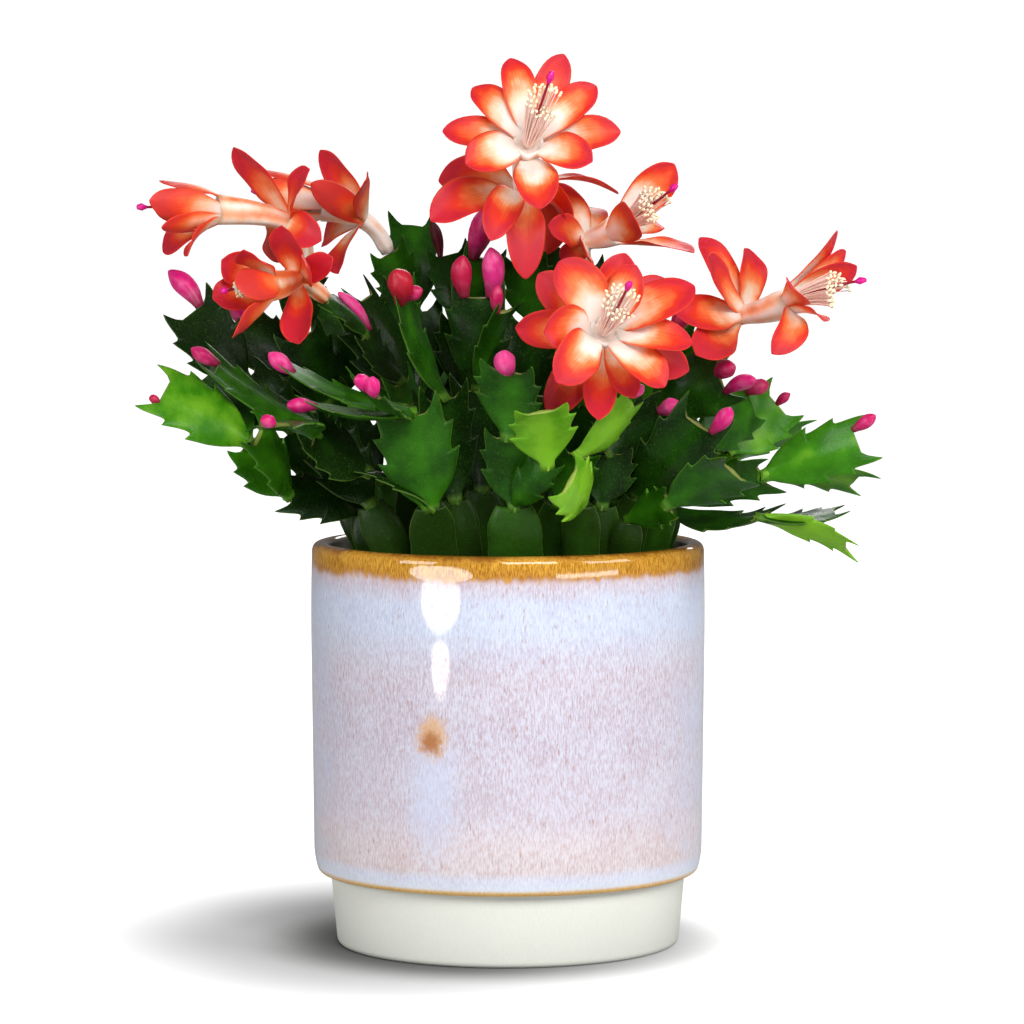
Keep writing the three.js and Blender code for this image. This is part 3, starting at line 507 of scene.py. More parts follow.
def leaf_loops(rows: Array, half: int) -> tuple[Array, Array, Array, Array]:
    """Lays the rings of a flat shell, out over its face and back over its other face.

    Args:
        rows: The outline's rows, with the half width first and the height at the rim second.
        half: How many steps a ring takes across one face.

    Returns:
        The across share, the height at the rim, the share of the row and the side of each point.
    """
    out = np.sin(np.linspace(-1, 1, half + 1) * np.pi / 2)
    flat = np.ones((len(rows), 1))
    q = flat * np.concatenate([out, out[-2:0:-1]])
    side = flat * np.concatenate([np.ones(half + 1), -np.ones(half - 1)])
    return rows[:, :1] * q, rows[:, 1:2] * np.ones_like(q), q, side


@dataclass(frozen=True)
class Bud:
    """A flower bud on the cut-off end of a pad, in millimetres.

    Each row of swell is (share of its height, share of its radius). The skin is a little smaller than the
    solid, by height_share and radius_share, and its ribs twist round it.
    """

    base: Array
    tip: Array
    radius: float
    tint: float
    sides: int = 30
    height_share: float = 0.93
    radius_share: float = 0.86
    bend: float = 0.3
    rib: float = 0.03
    twist: float = 1.4
    swell: tuple[tuple[float, float], ...] = (
        (0, 0.46), (0.06, 0.5), (0.16, 0.62), (0.28, 0.79), (0.4, 0.92), (0.51, 0.99), (0.61, 1.0),
        (0.7, 0.95), (0.78, 0.83), (0.85, 0.66), (0.91, 0.46), (0.955, 0.28), (0.985, 0.12),
    )

    @classmethod
    def on(cls, pad: Pad, tip: Array, radius: float, tint: float) -> "Bud":
        """Sets a bud on a pad.

        Args:
            pad: The pad.
            tip: The bud's point.
            radius: Its greatest radius.
            tint: Its colour, from 0 for pink to 1 for maroon.

        Returns:
            The bud.
        """
        end = pad.point(0, PAD_END)
        aside = 2 * float(np.dot(tip - end, pad.across)) / pad.width
        return cls(pad.point(min(BUD_ASIDE, max(-BUD_ASIDE, aside)), BUD_SEAT), tip, radius, tint)

    def add_to(self, shells: Shells, number: int) -> None:
        """Adds the bud's shell.

        Args:
            shells: The mesh of the shoot's buds.
            number: A number of its own, which sets its bend.
        """
        t, swell = np.array(self.swell).T
        line = (self.tip - self.base) * self.height_share
        radii = swell * self.radius * self.radius_share
        aside = squared(np.array([scatter(number), scatter(number + 3), 0.2]), unit(line))
        bend = np.multiply.outer(np.sin(np.pi * t), aside) * self.bend * self.radius
        centres = self.base + np.multiply.outer(t, line) + bend
        alongs = unit(np.gradient(centres, axis=0))
        add_rings(shells, centres, alongs, radii, self.sides, self.rib, self.twist, rise=t, tint=self.tint)


@dataclass(frozen=True)
class Shoot:
    """A shoot as it grows from the soil.

    Each pad is (the pad it grows from, x, y, z of its end, width, turn), counted from 1 and with 0 for the
    root. Each bud is (its pad, x, y, z of its point, radius, tint). bows says which way each pad bows. A
    shoot that is outward turns its pads to face away from the pot, and any other faces the front.
    """

    name: str
    root: tuple[float, float]
    bows: str
    ages: str
    rows: tuple[tuple[float, ...], ...]
    bud_rows: tuple[tuple[float, ...], ...] = ()
    outward: bool = False
    stem_rings: int = 5
    stem_sides: int = 14
    stem_rib: float = 0.03

    def pads(self) -> list[Pad]:
        """Gives the shoot's pads."""
        made: list[Pad] = []
        for (start, x, y, z, width, turn), bow, age in zip(self.rows, self.bows, self.ages):
            base = made[int(start) - 1].tip if start else np.array([*self.root, SOIL_TOP + ROOT_RISE])
            tip = np.array([x, y, z], float)
            forward = FORWARD
            if self.outward:
                forward = np.array([*unit(tip[:2] - base[:2]), FORWARD[2]])
            signed = BOW if bow == "+" else -BOW
            made.append(Pad.grown(base, tip, width, turn, signed, forward, start == 0, Age(age)))
        return made

    def buds(self) -> list[Bud]:
        """Gives the shoot's buds."""
        pads = self.pads()
        return [
            Bud.on(pads[int(on) - 1], np.array(tip, float), radius, tint)
            for on, *tip, radius, tint in self.bud_rows
        ]

    def build(self, number: int) -> None:
        """Makes the pieces of the shoot.

        Args:
            number: The shoot's place in the list.
        """
        shells = Shells("age", "edge", "rise", "aside", "scar", "woody")
        for i, pad in enumerate(self.pads()):
            pad.add_to(shells, 10 * number + i)
        heights = np.linspace(SOIL_TOP - STEM_DEPTH + GAP, SOIL_TOP + STEM_SHOWS, self.stem_rings)
        centres = np.column_stack([np.tile(self.root, (self.stem_rings, 1)), heights])
        alongs = np.tile([0, 0, 1.0], (self.stem_rings, 1))
        radii = np.full(self.stem_rings, STEM_RADIUS)
        add_rings(shells, centres, alongs, radii, self.stem_sides, self.stem_rib, woody=1.0)
        keep(shells.build(f"{self.name}_pads", PAD_SKIN.made()), "cactus_pad", f"shoot_{self.name}")
        if self.bud_rows:
            shells = Shells("rise", "tint", "groove")
            for i, bud in enumerate(self.buds()):
                bud.add_to(shells, 10 * number + i)
            keep(shells.build(f"{self.name}_buds", BUD_SKIN.made()), "petal", f"shoot_{self.name}")


@dataclass(frozen=True)
class BackShoot:
    """A shoot at the back, which leans outwards and forks once.

    It leaves the soil at azimuth degrees round the pot, ring millimetres out, and where ring is more than
    near it leans out by lean degrees more. Each row is (the pad it grows from, degrees round and up, length,
    width), and each pad sways and turns by degrees of its own. moves lists the pads that stand clear of
    their neighbours only when moved, as (pad, degrees round, degrees up). buds lists (pad, tint), and a bud
    ends bud_past millimetres past its pad.
    """

    azimuth: float
    ring: float
    moves: tuple[tuple[int, float, float], ...] = ()
    buds: tuple[tuple[int, float], ...] = ()
    rows: tuple[tuple[float, ...], ...] = (
        (0, 0, 84, 30, 16), (1, 0, 68, 32, 24), (2, 26, 52, 32, 24), (2, -26, 46, 30, 22),
    )
    ages: str = "1012"
    lean: float = 9
    near: float = 40
    sway: float = 8
    turn: float = 30
    bud_past: float = 12
    bud_radius: float = 3.2

    def grown(self, number: int) -> Shoot:
        """Grows the shoot by rule.

        Args:
            number: Its place among the shoots at the back.

        Returns:
            The shoot.
        """
        aim = math.radians(self.azimuth)
        root = (self.ring * math.cos(aim), self.ring * math.sin(aim))
        moves = {pad: (more, rise) for pad, more, rise in self.moves}
        lean = self.lean if self.ring > self.near else 0
        ends, alongs, rows, bows = [np.array([*root, SOIL_TOP + ROOT_RISE])], [FORWARD], [], ""
        for i, (start, aside, rise, length, width) in enumerate(self.rows):
            wobble = scatter(11 * number + i)
            more, higher = moves.get(i + 1, (0, 0))
            turned = math.radians(self.azimuth + aside + self.sway * wobble + more)
            up = math.radians(rise - lean + higher)
            level = np.array([math.cos(turned), math.sin(turned)]) * math.cos(up)
            alongs.append(np.array([*level, math.sin(up)]))
            ends.append(ends[start] + length * alongs[-1])
            rows.append((start, *ends[-1], width, self.turn * wobble))
            bows += "+" if wobble > 0 else "-"
        buds = tuple(
            (on, *(ends[on] + self.bud_past * alongs[on]), self.bud_radius, tint) for on, tint in self.buds
        )
        return Shoot(f"back_{number + 1}", root, bows, self.ages, tuple(rows), buds, outward=True)


def keep(piece: bpy.types.Object, slot: str, *nodes: str) -> None:
    """Sets a finished piece in place of the solids that it stands for: hides them and hangs the piece under
    the root body.

    Args:
        piece: The piece.
        slot: Not used.
        nodes: The solids that it stands for.
    """
    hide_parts(*nodes)
    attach(piece, "root")
    LOG.info("%s: %d faces", piece.name, len(piece.data.polygons))


@dataclass(frozen=True)
class Whorl:
    """A ring of petals: their greatest width, the angle at which they leave, and where they end.

    share is how far up the tube they leave it. Each is turned by tilt, so that one edge lies over its
    neighbour, and every second one leaves the tube lower by step.
    """

    width: float
    leave: float
    tips: tuple[tuple[float, float, float], ...]
    share: float = 1.0
    tilt: float = 0.1
    step: float = 0.0


@dataclass(frozen=True)
class Petal:
    """One petal, arched from its base to its tip, in millimetres or as shares of its width and length.

    Its wave is (share of its width, radians along it, radians that its start is scattered by). The lower
    whorl's petals are riper in colour by lower_ripe, and all of them ripen a little unevenly.
    """

    base: Array
    bend: Array
    tip: Array
    across: Array
    width: float
    tilt: float
    steps: int = 9
    thick: float = 0.42
    rim_thick: float = 0.02
    wave: tuple[float, float, float] = (0.055, 8.5, 3.1)
    curl: float = 0.05
    keel: float = 0.03
    keel_wide: float = 0.16
    lower_ripe: float = 0.18
    ripe_scatter: float = 0.1

    def place(self, u: Array | float, v: Array | float) -> tuple[Array, Array]:
        """Gives points on the middle of the petal.

        Args:
            u: Shares of its half width, from -1 to 1.
            v: Shares of its length.

        Returns:
            The points, and the way that the petal faces at each.
        """
        u, v = np.broadcast_arrays(np.asarray(u, float), np.asarray(v, float))
        t = v[..., None]
        low, high = self.base + (self.bend - self.base) * t, self.bend + (self.tip - self.bend) * t
        face = np.cross(self.across, unit(high - low))
        half = u * self.width / 2
        cup = (PETAL_CUP * u * u * self.width + self.tilt * half * smooth(0, 0.4, v))[..., None] * face
        return low + (high - low) * t + np.multiply.outer(half, self.across) + cup, face

    def add_to(self, shells: Shells, number: int, lower: bool, ripe: float) -> None:
        """Adds the petal's shell.

        Args:
            shells: The mesh of the bloom's petals.
            number: A number of its own, which sets its wave and tint.
            lower: Whether it is in the lower whorl.
            ripe: How far the bloom's colour has spread to the petals' bases.
        """
        rows = finer(PETAL_ROWS, ROW_STEPS)
        u, v, q, side = leaf_loops(rows, self.steps)
        middle, face = self.place(u, v)
        length = float(np.linalg.norm(self.tip - self.base))
        thick = self.thick * (1 - 0.5 * v) * np.sqrt(1 - np.abs(q) ** 4) + self.rim_thick
        tall, turns, start = self.wave
        wave = tall * self.width * np.sin(turns * v + start * scatter(number + 2)) * np.abs(u) ** 3
        keel = -self.keel * self.width * np.exp(-((u / self.keel_wide) ** 2)) * smooth(0.1, 0.4, v)
        curl = -self.curl * length * smooth(0.6, 1, v) ** 2 * (0.6 + 0.6 * scatter(number + 9))
        points = middle + (side * thick + wave + keel + curl)[..., None] * face
        shells.add(
            points.reshape(-1, 3), leaf_faces(len(rows), self.steps),
            np.stack([u * self.width / 2, v * length], axis=-1).reshape(-1, 2),
            rise=v.ravel(), edge=np.abs(q).ravel(), inner=side.ravel(),
            ripe=ripe + (self.lower_ripe if lower else 0) + self.ripe_scatter * scatter(number),
        )


@dataclass(frozen=True)
class Bloom:
    """A bloom: the shoot and pad that it grows from, its throat, axis and style, and its two whorls.

    A petal keeps at least lapped of its width, and reaches lap times as far as the room up to its neighbours.
    The throat is hollow: each row of hollow is (how deep in tube_deep millimetres, share of its radius). The
    style thickens to its stigma by rows of (share of its length, radius). Filaments reach a share of the way
    to the style's end, less for each millimetre that they spread by, and their middles bulge.
    """

    name: str
    shoot: str
    on: int
    throat: tuple[float, float, float]
    axis: tuple[float, float, float]
    style: tuple[float, float, float]
    upper: Whorl
    lower: Whorl
    ripe: float = 0.0
    filaments: int = 44
    fan: float = 6.0
    lapped: float = 0.8
    lap: float = 1.24
    throat_inset: float = 1.2
    tube_radii: tuple[float, ...] = (2.9, 2.8, 3.3, 4.2, 5.3)
    hollow: tuple[tuple[float, float], ...] = ((0.0, 0.82), (0.06, 0.7), (0.12, 0.4), (0.16, 0.15))
    tube_deep: float = 20
    tube_rings: int = 22
    tube_sides: int = 30
    tube_rib: float = 0.05
    tube_twist: float = 0.5
    foot_radius: float = 2.2
    style_radii: tuple[tuple[float, float], ...] = (
        (0, 0.5), (0.88, 0.42), (0.93, 1.2), (0.97, 1.3), (1, 0.7),
    )
    style_rings: int = 16
    style_sides: int = 15
    style_rib: float = 0.16
    style_reach: float = 1.1
    reach: float = 0.72
    reach_scatter: float = 0.13
    reach_falls: float = 0.012
    strand_spreads: float = 0.3
    strand_bulge: float = 1.4
    strand_bends: float = 0.55
    strand_points: int = 9
    strand_sink: float = 1.5

    def line(self, pad: Pad) -> Array:
        """Gives the four points that the tube's middle line is drawn from."""
        straight = pad.point(0, PAD_END) + pad.along * (GAP + TUBE_FOOT)
        throat, ahead = np.array(self.throat, float), unit(np.array(self.axis, float))
        pull = TUBE_PULL * float(np.linalg.norm(throat - straight))
        return np.array([straight, straight + pad.along * pull, throat - ahead * pull, throat])

    def whorl(self, at: Array, ahead: Array, ring: float, whorl: Whorl) -> list[Petal]:
        """Lays out a whorl's petals, each as wide as its neighbours leave room for.

        Args:
            at: The point of the tube that they leave.
            ahead: The tube's direction there.
            ring: How far from the middle line they start.
            whorl: The whorl.

        Returns:
            The petals.
        """
        tips = np.array(whorl.tips, float)
        out = squared(tips - at, ahead)
        back = PETAL_SINK + whorl.step * (np.arange(len(tips)) % 2)
        base = at - ahead * back[:, None] + out * ring
        leave = math.radians(whorl.leave)
        first = ahead * math.cos(leave) + out * math.sin(leave)
        bend = base + first * (PETAL_ARCH * np.linalg.norm(tips - base, axis=1))[:, None]
        across = np.cross(out, ahead)
        turns = np.arctan2(out @ across[0], out @ out[0])
        made = []
        for i, tip in enumerate(tips):
            gaps = (np.delete(turns, i) - turns[i]) % (2 * np.pi)
            apart = (gaps.min() + 2 * np.pi - gaps.max()) / 2
            petal = Petal(base[i], bend[i], tip, across[i], whorl.width, whorl.tilt)
            room = apart * float(np.dot(petal.place(0, WIDEST_AT)[0] - at, out[i]))
            width = min(whorl.width, max(self.lap * room, self.lapped * whorl.width))
            made.append(replace(petal, width=width))
        return made

    def petals(self, line: Array) -> tuple[list[Petal], list[Petal]]:
        """Gives the petals of the upper and of the lower whorl."""
        at, ahead = along_tube(line, np.array([1.0, self.lower.share]))
        upper = self.whorl(at[0], ahead[0], self.tube_radii[-1] - self.throat_inset, self.upper)
        return upper, self.whorl(at[1], ahead[1], COLLAR_RADIUS, self.lower)

    def add_tube(self, shells: Shells, pad: Pad, line: Array) -> None:
        """Adds the tube, from its foot on the pad to its hollow throat.

        Args:
            shells: The mesh of the bloom's petals.
            pad: The pad that it grows from.
            line: The points that its middle line is drawn from.
        """
        t = np.linspace(0, 1, self.tube_rings)
        at, ahead = along_tube(line, t)
        radii = np.interp(t, np.linspace(0, 1, len(self.tube_radii)), self.tube_radii)
        foot = pad.point(0, PAD_END) + pad.along * GAP
        back, narrow = np.array(self.hollow).T
        centres = np.concatenate([[foot], at, at[-1] - ahead[-1] * self.tube_deep * back[:, None]])
        alongs = np.concatenate([[pad.along], ahead, [ahead[-1]] * len(back)])
        radii = np.concatenate([[self.foot_radius], radii, radii[-1] * narrow])
        rise = np.concatenate([[0.1], 0.1 + 0.15 * t, [-0.1] * len(back)])
        add_rings(
            shells, centres, alongs, radii, self.tube_sides, self.tube_rib, self.tube_twist, rise=rise,
            ripe=0.1 + self.ripe, inner=0.2,
        )

    def targets(self, line: Array) -> tuple[Array, Array]:
        """Gives where the filaments end and how far each has bent away by its middle."""
        base, style = line[3], np.array(self.style, float)
        axis = style - base
        ahead = unit(axis)
        up = squared(np.array([0.0, 0, 1]), ahead)
        aside = np.cross(ahead, up)
        k = np.arange(self.filaments)
        angle = k * GOLDEN_ANGLE
        spread = self.fan * np.sqrt((k + 0.5) / self.filaments)
        uneven = self.reach_scatter * np.array([scatter(n + 0.5) for n in k])
        reach = self.reach + uneven - self.reach_falls * spread
        out = np.cos(angle)[:, None] * up + np.sin(angle)[:, None] * aside
        middle = self.strand_spreads * spread + self.strand_bulge
        return base + axis * reach[:, None] + out * spread[:, None], out * middle[:, None]

    def build_stamens(self, line: Array) -> None:
        """Makes the filaments with their anthers, and the style."""
        ends, middles = self.targets(line)
        ahead = unit(np.array(self.axis, float))
        start = line[3] - ahead * self.strand_sink
        strands = []
        for end, aside in zip(ends, middles):
            first = start + aside * self.strand_bends
            bend = start + ahead * self.strand_bends * np.linalg.norm(end - start) + aside
            strands.append(arc(first, bend, end, np.linspace(0, 1, self.strand_points)))
        made = strand_mesh(f"{self.name}_stamens", strands)
        grow(made, STAMEN_TREE.made(), STAMEN_SIZES)
        keep(made, "stamen", f"bloom_{self.name}_stamens")
        shells = Shells("rise")
        style = line[3] + (np.array(self.style, float) - line[3]) * self.style_reach
        bend = line[3] + ahead * np.linalg.norm(style - line[3]) * 0.5
        t = np.linspace(0, 1, self.style_rings)
        centres = arc(start, bend, style, t)
        radii = np.interp(t, *np.array(self.style_radii).T)
        alongs = unit(np.gradient(centres, axis=0))
        add_rings(shells, centres, alongs, radii, self.style_sides, self.style_rib, rise=t)
        keep(shells.build(f"{self.name}_style", STYLE_SKIN.made()), "stamen", f"bloom_{self.name}_stamens")

    def build(self, number: int, pad: Pad) -> None:
        """Makes the pieces of the bloom.

        Args:
            number: The bloom's place in the list.
            pad: The pad that it grows from.
        """
        line = self.line(pad)
        shells = Shells("rise", "edge", "inner", "ripe", "groove")
        upper, lower = self.petals(line)
        for i, petal in enumerate([*upper, *lower]):
            petal.add_to(shells, 20 * number + i, i >= len(upper), self.ripe)
        self.add_tube(shells, pad, line)
        keep(shells.build(f"{self.name}_petals", PETAL_SKIN.made()), "petal", f"bloom_{self.name}")
        self.build_stamens(line)


def arc(start: Array, bend: Array, end: Array, t: Array) -> Array:
    """Draws a soft arc.

    Args:
        start: Where it starts.
        bend: The point that pulls it aside.
        end: Where it ends.
        t: Shares of its length.

    Returns:
        One point for each share.
    """
    t = t[:, None]
    return (1 - t) ** 2 * start + 2 * t * (1 - t) * bend + t**2 * end


def along_tube(line: Array, t: Array) -> tuple[Array, Array]:
    """Follows a bloom's tube.

    Args:
        line: The four points that its middle line is drawn from.
        t: Shares of its length.

    Returns:
        The points, and the tube's direction at each.
    """
    s = 1 - t
    at = np.stack([s**3, 3 * s * s * t, 3 * s * t * t, t**3], axis=1) @ line
    ahead = np.stack([-s * s, s * s - 2 * s * t, 2 * s * t - t * t, t * t], axis=1) @ line
    return at, unit(ahead)


def strand_mesh(name: str, strands: Sequence[Array]) -> bpy.types.Object:
    """Makes an object of loose edges, one run of them for each strand.

    Args:
        name: The object's name.
        strands: The points of each strand, in millimetres.

    Returns:
        The object.
    """
    mesh = bpy.data.meshes.new(name)
    starts = np.cumsum([0, *[len(strand) for strand in strands[:-1]]])
    ends = [int(s) + k for s, strand in zip(starts, strands) for k in range(len(strand) - 1)]
    edges = [(k, k + 1) for k in ends]
    mesh.from_pydata((np.concatenate(strands) * MM).tolist(), edges, [])
    made = bpy.data.objects.new(name, mesh)
    bpy.context.scene.collection.objects.link(made)
    return made


# Nodes


def add_node(
    tree: bpy.types.NodeTree, kind: str, inputs: dict[Any, Any] | None = None, out: Any = 0, **settings: Any
) -> Any:
    """Adds a node with its settings and links.

    Args:
        tree: The tree that it goes into.
        kind: The node's type.
        inputs: A value or a socket for each input, by name or number.
        out: The output that is wanted, by name or number.
        settings: The node's own settings, and stops for a colour ramp.

    Returns:
        The output, or the node where it has none.
    """
    node = tree.nodes.new(kind)
    stops = settings.pop("stops", None)
    for key, value in settings.items():
        setattr(node, key, value)
    if stops:
        ramp = node.color_ramp.elements
        while len(ramp) < len(stops):
            ramp.new(0.5)
        for element, (at, colour) in zip(ramp, stops):
            element.position = at
            element.color = linear(colour) if isinstance(colour, str) else (colour, colour, colour, 1)
    for key, value in (inputs or {}).items():
        if isinstance(value, bpy.types.NodeSocket):
            tree.links.new(value, node.inputs[key])
        else:
            node.inputs[key].default_value = value
    return node.outputs[out] if len(node.outputs) else node


def linear(colour: str) -> tuple[float, float, float, float]:
    """Turns an sRGB hex colour to the linear one that a node takes."""
    parts = [int(colour[k : k + 2], 16) / 255 for k in (1, 3, 5)]
    return (*[c / 12.92 if c <= 0.04045 else ((c + 0.055) / 1.055) ** 2.4 for c in parts], 1.0)


def grow(made: bpy.types.Object, tree: bpy.types.NodeTree, sizes: dict[str, float]) -> None:
    """Runs a tree on an object and keeps the result as its plain mesh.

    Args:
        made: The object.
        tree: The geometry tree.
        sizes: A value for each of the tree's named inputs.
    """
    modifier = made.modifiers.new("grown", "NODES")
    modifier.node_group = tree
    for item in tree.interface.items_tree:
        if item.name in sizes:
            modifier[item.identifier] = sizes[item.name]
    settle(made)


def settle(made: bpy.types.Object) -> None:
    """Turns what an object's modifiers make of it into its plain mesh.

    Args:
        made: The object.
    """
    graph = bpy.context.evaluated_depsgraph_get()
    mesh = bpy.data.meshes.new_from_object(made.evaluated_get(graph), depsgraph=graph)
    made.modifiers.clear()
    made.data = mesh


def new_tree(name: str, sizes: dict[str, float]) -> tuple[bpy.types.NodeTree, Any]:
    """Starts a geometry tree.

    Args:
        name: The tree's name.
        sizes: The default of each named input.

    Returns:
        The tree and its input node.
    """
    tree = bpy.data.node_groups.new(name, "GeometryNodeTree")
    tree.interface.new_socket("Geometry", in_out="INPUT", socket_type="NodeSocketGeometry")
    for key, size in sizes.items():
        tree.interface.new_socket(key, in_out="INPUT", socket_type="NodeSocketFloat").default_value = size
    tree.interface.new_socket("Geometry", in_out="OUTPUT", socket_type="NodeSocketGeometry")
    return tree, tree.nodes.new("NodeGroupInput").outputs


@dataclass
class StamenTree:
    """Geometry nodes that turn each strand into a filament with an anther, which leans, on its end."""

    seed: int = 5
    lean: float = 0.9
    tree: bpy.types.NodeTree | None = None

    def made(self) -> bpy.types.NodeTree:
        """Gives the tree, and builds it the first time."""
        if self.tree:
            return self.tree
        tree, given = new_tree("stamens", STAMEN_SIZES)
        add = partial(add_node, tree)
        line = add("GeometryNodeMeshToCurve", {0: given["Geometry"]})
        ring = add("GeometryNodeCurvePrimitiveCircle", {"Resolution": 5, "Radius": given["Filament radius"]})
        stalks = add("GeometryNodeCurveToMesh", {0: line, 1: ring, "Fill Caps": True})
        stalks = add("GeometryNodeSetMaterial", {0: stalks, "Material": FILAMENT_SKIN.made()})
        ends = add("GeometryNodeCurveEndpointSelection", {"Start Size": 0, "End Size": 1})
        width, long = given["Anther width"], given["Anther length"]
        size = add("ShaderNodeCombineXYZ", {"X": width, "Y": width, "Z": long})
        ball = add("GeometryNodeMeshIcoSphere", {"Radius": 0.5, "Subdivisions": 2})
        tangent = add("GeometryNodeInputTangent")
        lean = add("FunctionNodeRandomValue", {
            0: (-self.lean,) * 3, 1: (self.lean,) * 3, "Seed": self.seed,
        }, data_type="FLOAT_VECTOR")
        ahead = add("ShaderNodeVectorMath", {0: tangent, 1: lean}, operation="ADD")
        turn = add("FunctionNodeAlignRotationToVector", {"Vector": ahead}, axis="Z")
        heads = add("GeometryNodeInstanceOnPoints", {
            "Points": line, "Selection": ends, "Instance": ball, "Rotation": turn, "Scale": size,
        })
        heads = add("GeometryNodeSetMaterial", {0: heads, "Material": ANTHER_SKIN.made()})
        whole = add("GeometryNodeJoinGeometry", {0: stalks})
        tree.links.new(heads, whole.node.inputs[0])
        whole = add("GeometryNodeRealizeInstances", {0: whole})
        whole = add("GeometryNodeSetShadeSmooth", {0: whole})
        add("NodeGroupOutput", {0: whole})
        self.tree = tree
        return tree


# Finishes


@dataclass(frozen=True)
class Finish:
    """A finish with a name of its own, painted once. Its paint takes the function that adds its nodes."""

    name: str

    def paint(self, add: Adder) -> Any:
        """Builds the finish's nodes and gives its surface."""
        raise NotImplementedError

    def made(self) -> bpy.types.Material:
        """Gives the material, and paints it the first time."""
        known = bpy.data.materials.get(self.name)
        if known:
            return known
        material = bpy.data.materials.new(self.name)
        material.use_nodes = True
        material.node_tree.nodes.clear()
        add = partial(add_node, material.node_tree)
        add("ShaderNodeOutputMaterial", {"Surface": self.paint(add)})
        return material


@dataclass(frozen=True)
class StemSkin(Finish):
    """Live stem joints: a waxy skin whose green pales with youth, with pale pores and a thin pale rim.

    The pale rim is a painted highlight along the edges. The lighter middle line is a painted highlight on the
    ridge, with painted shade on the flanks. The bark by the soil is partly its own woody tone and partly
    painted shade.
    """

    old: str = "#0b2403"
    grown: str = "#1c4a06"
    fresh: str = "#36780c"
    young: str = "#78b226"
    rim: str = "#7fae40"
    scar: str = "#9c9a55"
    bark: str = "#2e4a16"
    mottle: float = 9.0
    pore: float = 0.55
    roughness: float = 0.3

    def paint(self, add: Adder) -> Any:
        """Builds the finish's nodes and gives its surface."""
        at = add("ShaderNodeTexCoord", out="Object")
        age, edge, aside, scar, woody, rise = (
            add("ShaderNodeAttribute", out="Fac", attribute_name=name)
            for name in ("age", "edge", "aside", "scar", "woody", "rise")
        )
        cloud = add("ShaderNodeTexNoise", {"Vector": at, "Scale": 1 / (self.mottle * MM), "Detail": 3.0})
        shifted = add("ShaderNodeMapRange", {
            "Value": cloud, "From Min": 0.3, "From Max": 0.7, "To Min": -0.13, "To Max": 0.13,
        })
        # Painted light and shade: each pad is lighter along its middle line, a painted highlight on the
        # ridge, and a little darker on its flanks, painted shade.
        middle = add("ShaderNodeMapRange", {
            "Value": aside, "From Min": 0.6, "From Max": 0.0, "To Min": -0.03, "To Max": 0.09,
        }, interpolation_type="SMOOTHSTEP")
        tone = add("ShaderNodeMath", {0: age, 1: shifted}, operation="ADD")
        tone = add("ShaderNodeMath", {0: tone, 1: middle}, operation="ADD", use_clamp=True)
        green = add("ShaderNodeValToRGB", {0: tone}, stops=[
            (0.0, self.old), (0.33, self.grown), (0.68, self.fresh), (1.0, self.young),
        ])
        dots = add("ShaderNodeTexNoise", {"Vector": at, "Scale": 1 / (self.pore * MM), "Detail": 1.0})
        # The rim share is a painted highlight along the pads' edges.
        dots, bark, rim, foot = (
            add("ShaderNodeMapRange", {"Value": value, "From Min": low, "From Max": high, "To Max": most})
            for value, low, high, most in (
                (dots, 0.58, 0.75, 0.13), (woody, 0.0, 1.0, 0.45), (edge, 0.955, 1.0, 0.35),
                (rise, 0.05, 0.0, 0.25),
            )
        )
        # The bark share darkens the stems by the soil: partly their own woody tone, partly painted shade by
        # the pot's rim.
        over = ((dots, self.rim), (bark, self.bark), (rim, self.rim), (scar, self.scar), (foot, self.rim))
        for share, tone in over:
            green = add("ShaderNodeMix", {0: share, 6: green, 7: linear(tone)}, out=2, data_type="RGBA")
        rough = add("ShaderNodeMapRange", {
            "Value": cloud, "From Min": 0.3, "From Max": 0.7, "To Min": self.roughness - 0.06,
            "To Max": self.roughness + 0.1,
        })
        grain = add("ShaderNodeTexNoise", {"Vector": at, "Scale": 1 / (1.1 * MM), "Detail": 4.0})
        bump = add("ShaderNodeBump", {"Height": grain, "Distance": 0.25 * MM, "Strength": 0.5})
        return add("ShaderNodeBsdfPrincipled", {
            "Base Color": green, "Roughness": rough, "Normal": bump, "IOR": 1.4, "Specular IOR Level": 0.13,
            "Coat Weight": 0.06, "Coat Roughness": 0.2,
        })


@dataclass(frozen=True)
class BudSkin(Finish):
    """Unopened petals: smooth and tightly wrapped, pink to maroon with pale patches, dark at the foot."""

    tints: tuple[tuple[float, str], ...] = (
        (0.0, "#ee5c9e"), (0.25, "#d81c7a"), (0.5, "#bc1452"), (0.7, "#b0182c"), (1.0, "#561022"),
    )
    pale: str = "#f68cba"
    dark: str = "#5e0a2a"
    foot: str = "#6e1c2a"
    roughness: float = 0.38

    def paint(self, add: Adder) -> Any:
        """Builds the finish's nodes and gives its surface."""
        at = add("ShaderNodeTexCoord", out="Object")
        rise, tint, groove = (
            add("ShaderNodeAttribute", out="Fac", attribute_name=name) for name in ("rise", "tint", "groove")
        )
        cloud = add("ShaderNodeTexNoise", {"Vector": at, "Scale": 1 / (3.5 * MM), "Detail": 1.0})
        patch, young, seam, foot = (
            add("ShaderNodeMapRange", {"Value": value, "From Min": low, "From Max": high, "To Max": most})
            for value, low, high, most in (
                (cloud, 0.45, 0.75, 0.35), (tint, 0.7, 0.3, 1.0), (groove, 0.9, 1.0, 0.4),
                (rise, 0.42, 0.05, 0.85),
            )
        )
        patch = add("ShaderNodeMath", {0: patch, 1: young}, operation="MULTIPLY")
        colour = add("ShaderNodeValToRGB", {0: tint}, stops=self.tints)
        for share, tone in ((patch, self.pale), (seam, self.dark), (foot, self.foot)):
            colour = add("ShaderNodeMix", {0: share, 6: colour, 7: linear(tone)}, out=2, data_type="RGBA")
        return add("ShaderNodeBsdfPrincipled", {
            "Base Color": colour, "Roughness": self.roughness, "IOR": 1.38, "Specular IOR Level": 0.4,
            "Subsurface Weight": 0.12, "Subsurface Radius": (1.0, 0.3, 0.4), "Subsurface Scale": 1.2 * MM,
        })


